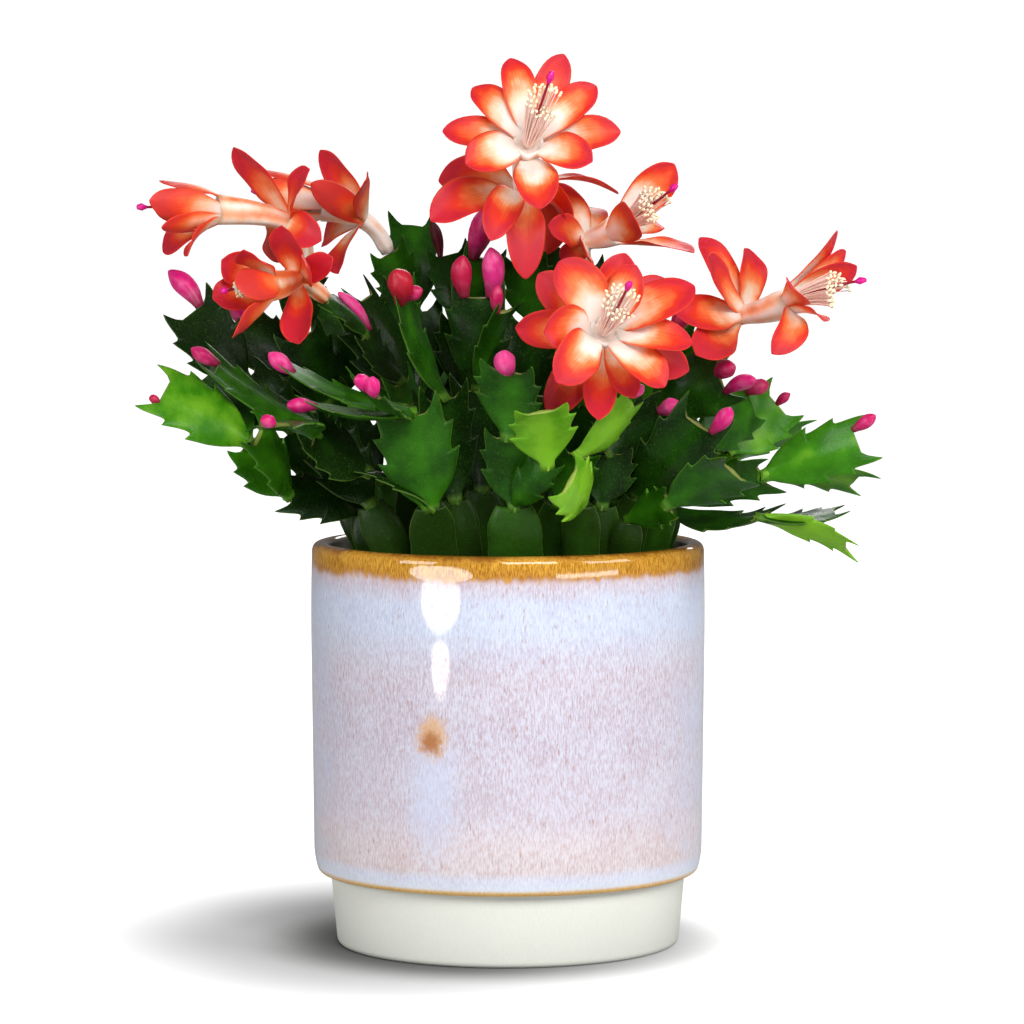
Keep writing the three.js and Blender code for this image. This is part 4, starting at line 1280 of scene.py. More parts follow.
@dataclass(frozen=True)
class PetalSkin(Finish):
    """Open petals: thin and juicy, white at the base, through orange to red at the rims, with fine veins."""

    heart: str = "#faeae0"
    peach: str = "#fac6a2"
    orange: str = "#f27c42"
    red: str = "#df3620"
    rose: str = "#c62434"
    back: str = "#f0642e"
    vein: float = 0.5
    vein_long: float = 12.0
    roughness: float = 0.42

    def paint(self, add: Adder) -> Any:
        """Builds the finish's nodes and gives its surface."""
        ply = add("ShaderNodeUVMap", uv_map="surface")
        at = add("ShaderNodeTexCoord", out="Object")
        rise, edge, inner, ripe, groove = (
            add("ShaderNodeAttribute", out="Fac", attribute_name=name)
            for name in ("rise", "edge", "inner", "ripe", "groove")
        )
        stretch = (1 / (self.vein * MM), 1 / (self.vein_long * MM), 1.0)
        vein = add("ShaderNodeVectorMath", {0: ply, 1: stretch}, operation="MULTIPLY")
        vein = add("ShaderNodeTexNoise", {"Vector": vein, "Scale": 1.0, "Detail": 2.0})
        cloud = add("ShaderNodeTexNoise", {"Vector": at, "Scale": 1 / (7 * MM), "Detail": 2.0})
        rim = add("ShaderNodeMath", {0: edge, 1: 2.2}, operation="POWER")
        grooved = add("ShaderNodeMath", {0: groove, 1: 0.5}, operation="MULTIPLY")
        rim = add("ShaderNodeMath", {0: rim, 1: grooved}, operation="MAXIMUM")
        rim = add("ShaderNodeMath", {0: rim, 1: 0.34}, operation="MULTIPLY")
        far = add("ShaderNodeMath", {0: rise, 1: 3.0}, operation="POWER")
        far = add("ShaderNodeMath", {0: far, 1: 0.36, 2: rim}, operation="MULTIPLY_ADD")
        spread = add("ShaderNodeMath", {0: rise, 1: 0.6, 2: far}, operation="MULTIPLY_ADD")
        outside = add("ShaderNodeMapRange", {"Value": inner, "From Min": 0.1, "From Max": -0.1})
        ripe = add("ShaderNodeMath", {0: outside, 1: 0.09, 2: ripe}, operation="MULTIPLY_ADD")
        spread = add("ShaderNodeMath", {0: spread, 1: ripe}, operation="ADD")
        for noise, share in ((vein, 0.07), (cloud, 0.2)):
            part = add("ShaderNodeMapRange", {
                "Value": noise, "From Min": 0.25, "From Max": 0.75, "To Min": -share / 2, "To Max": share / 2,
            })
            spread = add("ShaderNodeMath", {0: spread, 1: part}, operation="ADD")
        colour = add("ShaderNodeValToRGB", {0: spread}, stops=[
            (0.3, self.heart), (0.43, self.peach), (0.58, self.orange), (0.77, self.red), (0.96, self.rose),
        ])
        thin = add("ShaderNodeMapRange", {"Value": edge, "From Min": 0.8, "From Max": 0.98, "To Max": 0.85})
        young = add("ShaderNodeMapRange", {"Value": rise, "From Min": 0.05, "From Max": 0.22})
        thin = add("ShaderNodeMath", {0: thin, 1: young}, operation="MULTIPLY")
        outside = add("ShaderNodeMath", {0: outside, 1: 0.2}, operation="MULTIPLY")
        for share, tone in ((thin, self.red), (outside, self.back)):
            colour = add("ShaderNodeMix", {0: share, 6: colour, 7: linear(tone)}, out=2, data_type="RGBA")
        bump = add("ShaderNodeBump", {"Height": vein, "Distance": 0.2 * MM, "Strength": 0.4})
        return add("ShaderNodeBsdfPrincipled", {
            "Base Color": colour, "Roughness": self.roughness, "IOR": 1.4, "Specular IOR Level": 0.3,
            "Normal": bump, "Subsurface Weight": 0.4, "Subsurface Radius": (1.0, 0.5, 0.4),
            "Subsurface Scale": 1.5 * MM,
        })


@dataclass(frozen=True)
class PlainSkin(Finish):
    """A soft part of a flower in one colour, which darkens towards its end."""

    low: str = "#ffffff"
    high: str = "#ffffff"
    end: str = "#ffffff"
    roughness: float = 0.45

    def paint(self, add: Adder) -> Any:
        """Builds the finish's nodes and gives its surface."""
        rise = add("ShaderNodeAttribute", out="Fac", attribute_name="rise")
        colour = add("ShaderNodeValToRGB", {0: rise}, stops=[
            (0.1, self.low), (0.5, self.high), (0.87, self.high), (0.9, self.end),
        ])
        return add("ShaderNodeBsdfPrincipled", {
            "Base Color": colour, "Roughness": self.roughness, "IOR": 1.4, "Subsurface Weight": 0.1,
            "Subsurface Scale": 0.6 * MM,
        })


@dataclass(frozen=True)
class RunnyGlaze(Finish):
    """Stoneware in runny glazes: amber where they are thin at the rim, lilac with fine runs, and a bare foot.

    bands are [height in millimetres, colour of the pale runs, colour between them] from the foot up. Each
    pair says where a change starts and where it is full, in millimetres: by height, where the bands begin to
    waver, where flecks and the blue of the sides come in, where that blue ends and where the bare foot ends.
    The blue of the sides is a painted sheen on the pot's left and right as the camera sees them: blue_side is
    how far from the middle plane the blue comes in, counting up to drift that the clouds add.
    """

    bands: tuple[tuple[float, str, str], ...] = (
        (25.2, "#e6e7de", "#e2e3d9"), (25.8, "#e0ad55", "#c98f35"), (26.7, "#e3bd7a", "#d0a052"),
        (27.6, "#dfe5ef", "#d2d9e8"), (31.0, "#dce0ed", "#c7c7dc"), (33.5, "#dcd6da", "#c6aeb1"),
        (43.0, "#dcd6dc", "#c7b0b5"), (53.0, "#d5d4e2", "#c0adb9"), (78.0, "#d2d2e1", "#b7a4b3"),
        (99.0, "#d3d2e0", "#b9a4b1"), (107.0, "#d1d5e4", "#baafc2"), (115.0, "#d0d9e9", "#bbc0d8"),
        (124.0, "#d2dbeb", "#bdbfd8"), (130.8, "#d6d1dc", "#c0a2a9"), (132.6, "#cc9440", "#945a12"),
        (137.0, "#dba43a", "#9c6412"), (139.3, "#d8a040", "#a06818"), (139.9, "#94601e", "#7c4c12"),
    )
    inside: str = "#a8a79d"
    rust: str = "#a45c16"
    honey: str = "#d9a45c"
    blue: str = "#ccd9f5"
    run_wide: float = 0.46
    run_long: float = 2.3
    cloud: float = 16.0
    ragged: float = 2.2
    waver: tuple[float, float] = (29.0, 38.0)
    coloured: tuple[float, float] = (26.0, 36.0)
    blue_ends: tuple[float, float] = (132.0, 124.0)
    blue_side: tuple[float, float] = (75.0, 89.0)
    drift: float = 36.0
    bare: tuple[float, float] = (25.3, 25.9)
    spot: tuple[float, float, float] = (-25.1, -62.0, 79.1)
    core: tuple[float, float, float] = (-25.8, -62.0, 77.0)
    pool: tuple[float, float, float] = (-25.1, -62.0, 57.0)

    def paint(self, add: Adder) -> Any:
        """Builds the finish's nodes and gives its surface."""
        at = add("ShaderNodeTexCoord", out="Object")
        height = add("ShaderNodeSeparateXYZ", {0: at}, out="Z")
        stretch = (1 / (self.run_wide * MM), 1 / (self.run_wide * MM), 1 / (self.run_long * MM))
        runs = add("ShaderNodeVectorMath", {0: at, 1: stretch}, operation="MULTIPLY")
        runs = add("ShaderNodeTexNoise", {"Vector": runs, "Scale": 1.0, "Detail": 4.0, "Roughness": 0.65})
        drips, fleck = (
            add("ShaderNodeVectorMath", {0: at, 1: tuple(k / coarser for k in stretch)}, operation="MULTIPLY")
            for coarser in (4, 1.6)
        )
        drips, fleck = (
            add("ShaderNodeTexNoise", {"Vector": grid, "Scale": 1.0, "Detail": 2.0})
            for grid in (drips, fleck)
        )
        slow = add("ShaderNodeTexNoise", {"Vector": at, "Scale": 1 / (self.cloud * MM), "Detail": 2.0})
        still, wall, below, glazed = (
            add("ShaderNodeMapRange", {"Value": height, "From Min": start * MM, "From Max": full * MM})
            for start, full in (self.waver, self.coloured, self.blue_ends, self.bare)
        )
        level = height
        for noise, most in ((runs, 1.3), (drips, 0.7), (slow, 1.0)):
            part = add("ShaderNodeMapRange", {
                "Value": noise, "From Min": 0.28, "From Max": 0.72, "To Min": -most * MM, "To Max": most * MM,
            })
            level = add("ShaderNodeMath", {0: part, 1: still, 2: level}, operation="MULTIPLY_ADD")
        share = add("ShaderNodeMapRange", {"Value": level, "From Max": POT_HEIGHT * MM})
        pale, deep = (
            add("ShaderNodeValToRGB", {0: share}, stops=[(row[0] / POT_HEIGHT, row[k]) for row in self.bands])
            for k in (1, 2)
        )
        patch = add("ShaderNodeMapRange", {
            "Value": slow, "From Min": 0.3, "From Max": 0.7, "To Min": 0.035, "To Max": -0.035,
        })
        between = add("ShaderNodeMath", {0: runs, 1: patch}, operation="ADD")
        between = add("ShaderNodeMapRange", {"Value": between, "From Min": 0.36, "From Max": 0.6})
        colour = add("ShaderNodeMix", {0: between, 6: deep, 7: pale}, out=2, data_type="RGBA")
        fleck = add("ShaderNodeMapRange", {
            "Value": fleck, "From Min": 0.63, "From Max": 0.72, "To Max": 0.45,
        })
        fleck = add("ShaderNodeMath", {0: fleck, 1: wall}, operation="MULTIPLY")
        over = [(fleck, self.rust)]
        rough_at = add(
            "ShaderNodeTexNoise", {"Vector": at, "Scale": 1 / (self.ragged * MM), "Detail": 3.0}, out="Color"
        )
        for centre, tall, reach, tone, most in (
            (self.pool, 2.3, 12.5, self.blue, 0.42), (self.spot, 1.35, 7.5, self.honey, 0.75),
            (self.core, 1.2, 4.8, self.rust, 0.8),
        ):
            centre = tuple(c * MM for c in centre)
            off = add("ShaderNodeVectorMath", {0: at, 1: centre}, operation="SUBTRACT")
            off = add("ShaderNodeVectorMath", {0: off, 1: (1.0, 0.6, 1 / tall)}, operation="MULTIPLY")
            jag = add("ShaderNodeVectorMath", {0: rough_at, 1: (0.5,) * 3}, operation="SUBTRACT")
            jag = add("ShaderNodeVectorMath", {0: jag, 1: (0.75 * reach * MM,) * 3}, operation="MULTIPLY")
            off = add("ShaderNodeVectorMath", {0: off, 1: jag}, operation="ADD")
            far = add("ShaderNodeVectorMath", {0: off}, out="Value", operation="LENGTH")
            mark = add("ShaderNodeMapRange", {
                "Value": far, "From Min": reach * MM, "From Max": reach * 0.3 * MM, "To Max": most,
            }, interpolation_type="SMOOTHSTEP")
            over.append((mark, tone))
        # Painted sheen: the pot's left and right sides, as the camera sees them, turn blue.
        side = add("ShaderNodeSeparateXYZ", {0: at}, out="X")
        side = add("ShaderNodeMath", {0: side}, operation="ABSOLUTE")
        side = add("ShaderNodeMath", {0: slow, 1: self.drift * MM, 2: side}, operation="MULTIPLY_ADD")
        side = add("ShaderNodeMapRange", {
            "Value": side, "From Min": self.blue_side[0] * MM, "From Max": self.blue_side[1] * MM,
            "To Max": 0.4,
        }, interpolation_type="SMOOTHSTEP")
        for part in (wall, below):
            side = add("ShaderNodeMath", {0: side, 1: part}, operation="MULTIPLY")
        flat_at = add("ShaderNodeVectorMath", {0: at, 1: (1.0, 1.0, 0.0)}, operation="MULTIPLY")
        out_from = add("ShaderNodeVectorMath", {0: flat_at}, out="Value", operation="LENGTH")
        within = add("ShaderNodeMapRange", {
            "Value": out_from, "From Min": (POT_INSIDE + 0.9) * MM, "From Max": (POT_INSIDE + 0.1) * MM,
        })
        above = add("ShaderNodeMath", {0: height, 1: (FOOT_HEIGHT + 0.5) * MM}, operation="GREATER_THAN")
        within = add("ShaderNodeMath", {0: within, 1: above}, operation="MULTIPLY")
        for share, tone in (*over, (side, self.blue), (within, self.inside)):
            colour = add("ShaderNodeMix", {0: share, 6: colour, 7: linear(tone)}, out=2, data_type="RGBA")
        glazed = add("ShaderNodeMath", {0: glazed, 1: within}, operation="MAXIMUM")
        rough = add("ShaderNodeMapRange", {"Value": glazed, "To Min": 0.8, "To Max": 0.05})
        bump = add("ShaderNodeBump", {"Height": drips, "Distance": 0.1 * MM, "Strength": 0.15})
        return add("ShaderNodeBsdfPrincipled", {
            "Base Color": colour, "Roughness": rough, "IOR": 1.52, "Normal": bump,
        })


@dataclass(frozen=True)
class Moulded(Finish):
    """Black polypropylene, moulded thin, with a dull sheen and a fine grain."""

    black: str = "#1b1c1b"

    def paint(self, add: Adder) -> Any:
        """Builds the finish's nodes and gives its surface."""
        at = add("ShaderNodeTexCoord", out="Object")
        grain = add("ShaderNodeTexNoise", {"Vector": at, "Scale": 1 / (0.7 * MM), "Detail": 2.0})
        bump = add("ShaderNodeBump", {"Height": grain, "Distance": 0.05 * MM, "Strength": 0.4})
        return add("ShaderNodeBsdfPrincipled", {
            "Base Color": linear(self.black), "Roughness": 0.5, "IOR": 1.49, "Normal": bump,
        })


@dataclass(frozen=True)
class Peat(Finish):
    """Damp peat and bark: dark, crumbly and without shine."""

    dark: str = "#1f150e"
    light: str = "#5a4330"

    def paint(self, add: Adder) -> Any:
        """Builds the finish's nodes and gives its surface."""
        at = add("ShaderNodeTexCoord", out="Object")
        crumb = add("ShaderNodeTexNoise", {"Vector": at, "Scale": 1 / (2 * MM), "Detail": 5.0})
        colour = add("ShaderNodeValToRGB", {0: crumb}, stops=[(0.35, self.dark), (0.7, self.light)])
        bump = add("ShaderNodeBump", {"Height": crumb, "Distance": 0.6 * MM, "Strength": 0.8})
        return add("ShaderNodeBsdfPrincipled", {
            "Base Color": colour, "Roughness": 0.92, "IOR": 1.45, "Normal": bump,
        })


PAD_SKIN = StemSkin("waxy_stem_skin")
BUD_SKIN = BudSkin("wrapped_bud_skin")
PETAL_SKIN = PetalSkin("open_petal_skin")
FILAMENT_SKIN = PlainSkin("filament_skin", "#ffe2d6", "#ffe2d6", "#ffe2d6")
ANTHER_SKIN = PlainSkin("pollen_on_anthers", "#fff3d2", "#fff3d2", "#fff3d2", 0.8)
STYLE_SKIN = PlainSkin("style_skin", "#d9606c", "#9c1030", "#e0128c", 0.35)
GLAZE = RunnyGlaze("runny_stoneware_glaze")
PLASTIC = Moulded("moulded_polypropylene")
PEAT = Peat("damp_peat")
STAMEN_TREE = StamenTree()
STAMEN_SIZES = {"Filament radius": 0.22 * MM, "Anther length": 1.7 * MM, "Anther width": 1.0 * MM}


# The pads' ages below are partly their own and partly painted light and shade, darker for pads that lie in
# shade.
SHOOTS = (
    Shoot("top_left", (-24, 24), "-++-+", "00011", (
        (0, -25, 26, 162, 16, 0), (1, -29, 22, 191, 24, 10), (2, -33, 20, 220, 24, -10),
        (3, -42, 16, 240, 18, 20), (3, -34, 32, 250, 20, 20),
    )),
    Shoot("left_back", (-38, 6), "+-++-+", "100000", (
        (0, -46, 8, 160, 16, 0), (1, -64, 8, 188, 24, 0), (2, -93, 10, 215, 22, 10),
        (2, -72, 0, 212, 22, 20), (4, -70, -6, 236, 18, 30), (2, -55, 20, 221, 26, 10),
    ), (
        (3, -101, -2, 229, 4, 0.4),
    )),
    Shoot("left_edge", (-30, -10), "-+-+", "0100", (
        (0, -32, -14, 166, 16, 20), (1, -37, -20, 197, 20, 50), (2, -49, -24, 213, 18, 50),
        (3, -62, -30, 225, 16, 60),
    ), (
        (3, -59, -20, 228, 3, 0.2),
    )),
    Shoot("top_right", (4, 0), "-++-+", "00010", (
        (0, 6, 2, 163, 16, 0), (1, 8, 0, 192, 22, 0), (2, 8, -4, 217, 20, 0), (3, 6, -14, 238, 18, 0),
        (3, 17, 8, 243, 18, 30),
    )),
    Shoot("top_back", (21, 12), "+-++", "0110", (
        (0, 22, 12, 160, 16, 0), (1, 25, 10, 188, 24, 0), (2, 29, 2, 213, 22, 0), (3, 26, -4, 236, 18, -20),
    )),
    Shoot("mid_right", (31, -12), "-+-", "001", (
        (0, 36, -17, 156, 18, 0), (1, 42, -24, 181, 27, 0), (2, 38, -30, 206, 20, 0),
    )),
    Shoot("right_high", (25, -1), "-++-+", "00110", (
        (0, 31, -4, 158, 16, 0), (1, 47, -10, 187, 26, 0), (2, 74, -24, 198, 24, 10),
        (2, 68, -8, 209, 22, 20), (2, 54, 2, 212, 18, -20),
    ), (
        (3, 77, -38, 202, 3.8, 0.5), (3, 85, -36, 198, 3.2, 0.3), (5, 60, -6, 222, 3.6, 0.6),
    )),
    Shoot("left_low", (-42, -20), "++-+-+", "002212", (
        (0, -49, -24, 153, 15, 0), (1, -75, -34, 159, 18, 20), (2, -88, -42, 177, 20, 10),
        (3, -117, -46, 195, 24, 25), (3, -106, -22, 197, 22, -10), (2, -84, -64, 181, 17, 40),
    ), (
        (4, -121, -49, 192, 1.8, 0.6),
    )),
    Shoot("centre_left", (-24, -42), "-+--+-+", "0111001", (
        (0, -26, -53, 156, 17, 0), (1, -33, -62, 188, 27, 5), (2, -46, -88, 197, 24, 65),
        (2, -65, -70, 191, 20, 70), (1, -48, -54, 168, 15, 75), (5, -65, -62, 181, 24, 35),
        (6, -77, -86, 185, 24, 80),
    ), (
        (3, -50, -95, 201, 3, 0.25), (3, -44, -95, 202, 3, 0.25), (4, -74, -73, 191, 3, 0.3),
        (7, -81, -92, 187, 2.6, 0.35),
    )),
    Shoot("left_high", (-41, -7), "+-+-", "0000", (
        (0, -56, -10, 158, 15, 0), (1, -75, -9, 180, 22, 10), (2, -91, -11, 197, 22, 10),
        (3, -109, -12, 221, 24, 10),
    ), (
        (4, -118, -6, 235, 4.3, 0.3),
    )),
    Shoot("left_mid", (-34, -30), "+--", "001", (
        (0, -47, -36, 156, 15, 0), (1, -63, -35, 181, 22, 10), (2, -100, -39, 203, 18, 50),
    ), (
        (3, -108, -37, 209, 3, 0.4),
    )),
    Shoot("left_bud", (-22, -24), "-+-", "011", (
        (0, -25, -30, 158, 16, 0), (1, -36, -34, 188, 22, 40), (2, -74, -46, 202, 18, 60),
    ), (
        (3, -81, -50, 208, 3.4, 0.2),
    )),
    Shoot("shiny", (-25, 11), "+-+-", "0000", (
        (0, -27, 9, 160, 16, -20), (1, -33, -1, 190, 20, 30), (2, -50, -6, 226, 16, 40),
        (2, -50, 1, 223, 26, 0),
    )),
    Shoot("bright", (-15, -33), "+--", "001", (
        (0, -18, -40, 158, 16, 0), (1, -22, -45, 193, 22, 20), (2, -35, -50, 227, 20, 60),
    ), (
        (3, -38, -62, 236, 5, 0.7), (3, -28, -52, 229, 3, 0.5),
    )),
    Shoot("top_mid", (-12, 9), "-+--+", "00011", (
        (0, -13, 16, 160, 16, 0), (1, -14, 16, 191, 24, 0), (2, -15, 11, 217, 22, 10),
        (3, -21, 13, 240, 18, 0), (3, -8, 1, 239, 18, 20),
    ), (
        (4, -27, 11, 252, 2.4, 1), (5, -5, -11, 258, 5, 0.35),
    )),
    Shoot("centre_high", (-8, -17), "+-+-", "0001", (
        (0, -9, -21, 160, 17, 0), (1, -10, -28, 195, 24, -20), (2, -10, -34, 227, 22, 0),
        (2, -1, -45, 222, 12, 50),
    ), (
        (3, -15, -37, 241, 4.2, 0.6), (3, -6, -39, 244, 4.5, 0.2), (4, -3, -49, 231, 2.6, 0.5),
    )),
    Shoot("centre_front", (3, -46), "+--+-", "11113", (
        (0, 2, -57, 157, 20, 0), (1, 0, -64, 181, 19, 0), (2, 0, -74, 203, 23, -20),
        (1, 13, -70, 172, 13, 0), (4, 11, -85, 190, 22, 0),
    ), (
        (3, -1, -83, 210, 4.2, 0.15),
    )),
    Shoot("front_stub", (24, -43), "-+", "03", (
        (0, 25, -56, 157, 14, 0), (1, 20, -86, 167, 22, 0),
    )),
    Shoot("twist", (14, -35), "--+", "013", (
        (0, 17, -46, 157, 15, 0), (1, 24, -60, 174, 16, 20), (2, 42, -54, 192, 20, 65),
    ), (
        (3, 46, -56, 197, 2.4, 0.2),
    )),
    Shoot("mid_front", (27, -30), "+--", "000", (
        (0, 32, -38, 156, 16, 0), (1, 34, -42, 174, 20, 0), (2, 53, -36, 185, 22, 20),
    ), (
        (3, 58, -41, 190, 3.6, 0.15),
    )),
    Shoot("big_bud", (37, -20), "-+", "00", (
        (0, 44, -31, 158, 14, 0), (1, 65, -54, 185, 24, 20),
    ), (
        (2, 75, -59, 190, 3.3, 0.25),
    )),
    Shoot("right_mid", (37, -7), "--+", "001", (
        (0, 48, -13, 157, 13, 0), (1, 64, -16, 176, 22, 0), (2, 85, 0, 188, 22, 30),
    ), (
        (3, 91, -2, 195, 3.2, 0.5),
    )),
    Shoot("right_light", (45, 8), "+--", "022", (
        (0, 56, 4, 158, 15, 0), (1, 77, 3, 172, 20, 10), (2, 95, 15, 187, 22, 10),
    ), (
        (3, 99, 14, 191, 2, 0.5),
    )),
    Shoot("right_edge", (42, 20), "-+-", "012", (
        (0, 55, 18, 156, 15, 0), (1, 80, 18, 168, 18, 20), (2, 104, 28, 177, 16, 70),
    )),
    Shoot("right", (46, -17), "--+-", "1122", (
        (0, 54, -26, 156, 12, 0), (1, 87, -46, 166, 18, 40), (2, 119, -49, 178, 20, 0),
        (2, 119, -33, 163, 20, 75),
    ), (
        (3, 124, -52, 187, 2.6, 0.4),
    )),
    Shoot("bright_right", (38, -31), "+--", "011", (
        (0, 41, -42, 151, 12, 0), (1, 54, -66, 158, 14, 20), (2, 75, -86, 170, 20, 45),
    )),
    Shoot("right_low", (49, -4), "-+-+", "1131", (
        (0, 57, -3, 151, 11, 20), (1, 86, -38, 151, 18, 130), (2, 115, -48, 142, 12, 64),
        (2, 112, -36, 152.5, 17, 113),
    )),
)

BACK_SHOOTS = (
    BackShoot(46, 46, buds=((3, 0.3),)),
    BackShoot(60, 34, buds=((3, 0.3),)),
    BackShoot(76, 47, buds=((3, 0.3),)),
    BackShoot(92, 35, moves=((2, 0, -14), (4, 14, 0)), buds=((3, 0.3),)),
    BackShoot(108, 47, moves=((2, 0, -14),), buds=((3, 0.3), (4, 0.4))),
    BackShoot(128, 45, moves=((1, 0, 14), (4, 0, 14)), buds=((4, 0.3),)),
    BackShoot(148, 47, moves=((1, 0, -14),), buds=((4, 0.3),)),
)

BLOOMS = (
    Bloom(
        "top", "top_right", 4, (7, -42, 278), (0.1, -0.88, 0.34), (14, -66, 299),
        Whorl(15, 30, (
            (1, -38, 307), (19, -36, 308), (30, -38, 297), (38, -44, 282), (28, -56, 272),
            (11, -60, 256), (-14, -54, 271), (-22, -44, 282), (-12, -40, 297),
        ), tilt=-0.1, step=4.5),
        Whorl(14, 55, (
            (-24, -20, 266), (-26, -43, 252), (-6, -50, 246), (6, -41, 232), (15, -5, 240),
            (20, -20, 251), (38, -16, 261),
        ), share=0.5, tilt=0.45, step=2.5),
    ),
    Bloom(
        "front", "mid_right", 3, (32, -76, 216), (0.15, -0.9, 0.3), (39, -103, 231),
        Whorl(15, 30, (
            (17, -76, 239), (42, -84, 237), (62, -74, 231), (61, -80, 212), (52, -86, 198),
            (16, -94, 200), (12, -92, 216),
        ), tilt=0.4),
        Whorl(14, 50, (
            (3, -64, 216), (10, -58, 234), (39, -62, 241), (54, -50, 232), (60, -66, 202),
            (41, -78, 195), (30, -76, 187), (14, -66, 188),
        ), share=0.6),
    ),
    Bloom(
        "high_right", "top_back", 4, (37, -20, 248), (0.65, -0.5, 0.45), (55, -39, 262),
        Whorl(14, 30, (
            (57, -20, 270), (52, -4, 268), (51, 2, 253), (63, -34, 242), (43, -44, 253),
        )),
        Whorl(11, 60, (
            (12, -8, 264), (20, 14, 257), (15, -30, 250), (28, -34, 240), (18, -12, 238),
        ), share=0.5),
        ripe=0.03,
    ),
    Bloom(
        "right", "right_high", 4, (95, -34, 224), (0.87, -0.3, 0.4), (118, -45, 231),
        Whorl(11, 20, (
            (112, -30, 248), (116, -22, 241), (118, -34, 236), (107, -52, 219), (95, -58, 230),
            (89, -50, 207),
        ), tilt=-0.4),
        Whorl(14, 70, (
            (66, -22, 246), (68, -46, 239), (84, -10, 242), (57, -44, 221), (64, -50, 207),
        ), share=0.5, tilt=-0.4, step=-2.5),
        ripe=0.05,
    ),
    Bloom(
        "left", "left_back", 5, (-99, -26, 255), (-0.93, -0.25, 0.08), (-123, -34, 256),
        Whorl(11, 30, (
            (-118, -31, 264), (-121, -41, 258), (-117, -42, 250), (-116, -30, 248),
            (-120, -25, 256), (-119, -14, 241), (-108, -46, 240),
        ), tilt=0.2),
        Whorl(13, 50, (
            (-94, -20, 275), (-68, -30, 269), (-64, -32, 245), (-78, 10, 238),
        ), share=0.45),
        ripe=0.12, fan=3.5,
    ),
    Bloom(
        "left_low", "left_edge", 4, (-80, -58, 230), (-0.68, -0.7, -0.02), (-93, -75, 229),
        Whorl(13, 32, (
            (-91, -80, 216), (-90, -80, 231), (-88, -72, 241), (-95, -63, 238), (-98, -61, 226),
        ), tilt=-0.4),
        Whorl(12, 55, (
            (-76, -54, 249), (-59, -54, 239), (-70, -58, 211), (-68, -68, 236),
        ), share=0.5),
        ripe=0.24, filaments=24, fan=3,
    ),
    Bloom(
        "left_high", "top_left", 4, (-64, 10, 256), (-0.95, 0.05, 0.2), (-87, 11, 261),
        Whorl(10, 28, (
            (-86, 12, 268), (-88, 5, 262), (-87, 7, 255), (-86, 16, 255), (-87, 18, 263),
        ), tilt=0.25),
        Whorl(13, 60, (
            (-66, 20, 275), (-50, -12, 266), (-68, -9, 264), (-59, -4, 233), (-66, 30, 244),
        ), share=0.5),
    ),
)


@dataclass
class CoverPot:
    """The turned and glazed stoneware pot that shows."""

    sides: int = 160
    rounding: int = 6
    flare: float = 1.0
    foot_taper: float = 0.6
    foot_splay: float = 1.7
    shoulder: float = 6.0
    straight_to: float = 22.0

    def build(self) -> None:
        """Makes the pot from its profile of [radius, height, rounding] points."""
        top = POT_RADIUS + self.flare
        profile = rounded([
            (0, 0), (FOOT_RADIUS - self.foot_taper, 0, 2.4),
            (FOOT_RADIUS + self.foot_splay, FOOT_HEIGHT, 0.8),
            (POT_RADIUS - 1.5, FOOT_HEIGHT + 0.4, 1.6), (POT_RADIUS, FOOT_HEIGHT + self.shoulder, 3.5),
            (top, POT_HEIGHT - self.straight_to, 12.0), (top - 0.5, POT_HEIGHT, 3.2),
            (POT_INSIDE + 0.2, POT_HEIGHT, 2.0), (POT_INSIDE, POT_HEIGHT - 6),
            (POT_INSIDE - 0.5, FOOT_HEIGHT + 10, 4.0), (FOOT_INSIDE, FOOT_HEIGHT, 3.0),
            (FOOT_INSIDE - 1.5, POT_FLOOR, 2.5), (0, POT_FLOOR),
        ], self.rounding)
        shells = Shells()
        add_turned(shells, profile, self.sides)
        keep(shells.build("cover_pot", GLAZE.made()), "glazed_stoneware", "cachepot")


@dataclass
class GrowingPot:
    """The thin plastic pot that holds the root ball, with a rolled rim and drainage holes."""

    sides: int = 96
    drains: int = 6
    drain_radius: float = 4.0
    drain_ring: float = 30.0
    sharp_from: float = 35.0

    def build(self) -> None:
        """Makes the pot and cuts its drainage holes."""
        foot = POT_FLOOR + GAP
        lip = LINER_TOP - LIP_DEPTH
        wall = LINER_TOP_RADIUS - LINER_STEP
        profile = rounded([
            (0, foot), (LINER_FOOT_RADIUS, foot, 1.5), (wall, lip, 0.6), (LINER_TOP_RADIUS, lip, 0.5),
            (LINER_TOP_RADIUS, LINER_TOP, 0.8), (wall - LINER_WALL, LINER_TOP, 0.8),
            (LINER_FOOT_RADIUS - LINER_WALL, foot + LINER_WALL, 1.0), (0, foot + LINER_WALL),
        ])
        shells = Shells()
        add_turned(shells, profile, self.sides)
        pot = shells.build("growing_pot_shell", PLASTIC.made())
        plugs = Shells()
        for k in range(self.drains):
            angle = 2 * math.pi * k / self.drains
            x, y = self.drain_ring * math.cos(angle), self.drain_ring * math.sin(angle)
            centres = np.array([[x, y, foot - 1], [x, y, foot + LINER_WALL + 1]])
            add_rings(plugs, centres, np.array([[0, 0, 1.0]] * 2), np.array([self.drain_radius] * 2), 20)
        cutter = plugs.build("drain_plugs")
        modifier = pot.modifiers.new("drains", "BOOLEAN")
        modifier.operation, modifier.object, modifier.solver = "DIFFERENCE", cutter, "EXACT"
        settle(pot)
        pot.data.set_sharp_from_angle(angle=math.radians(self.sharp_from))
        bpy.data.objects.remove(cutter)
        keep(pot, "black_plastic", "growing_pot")


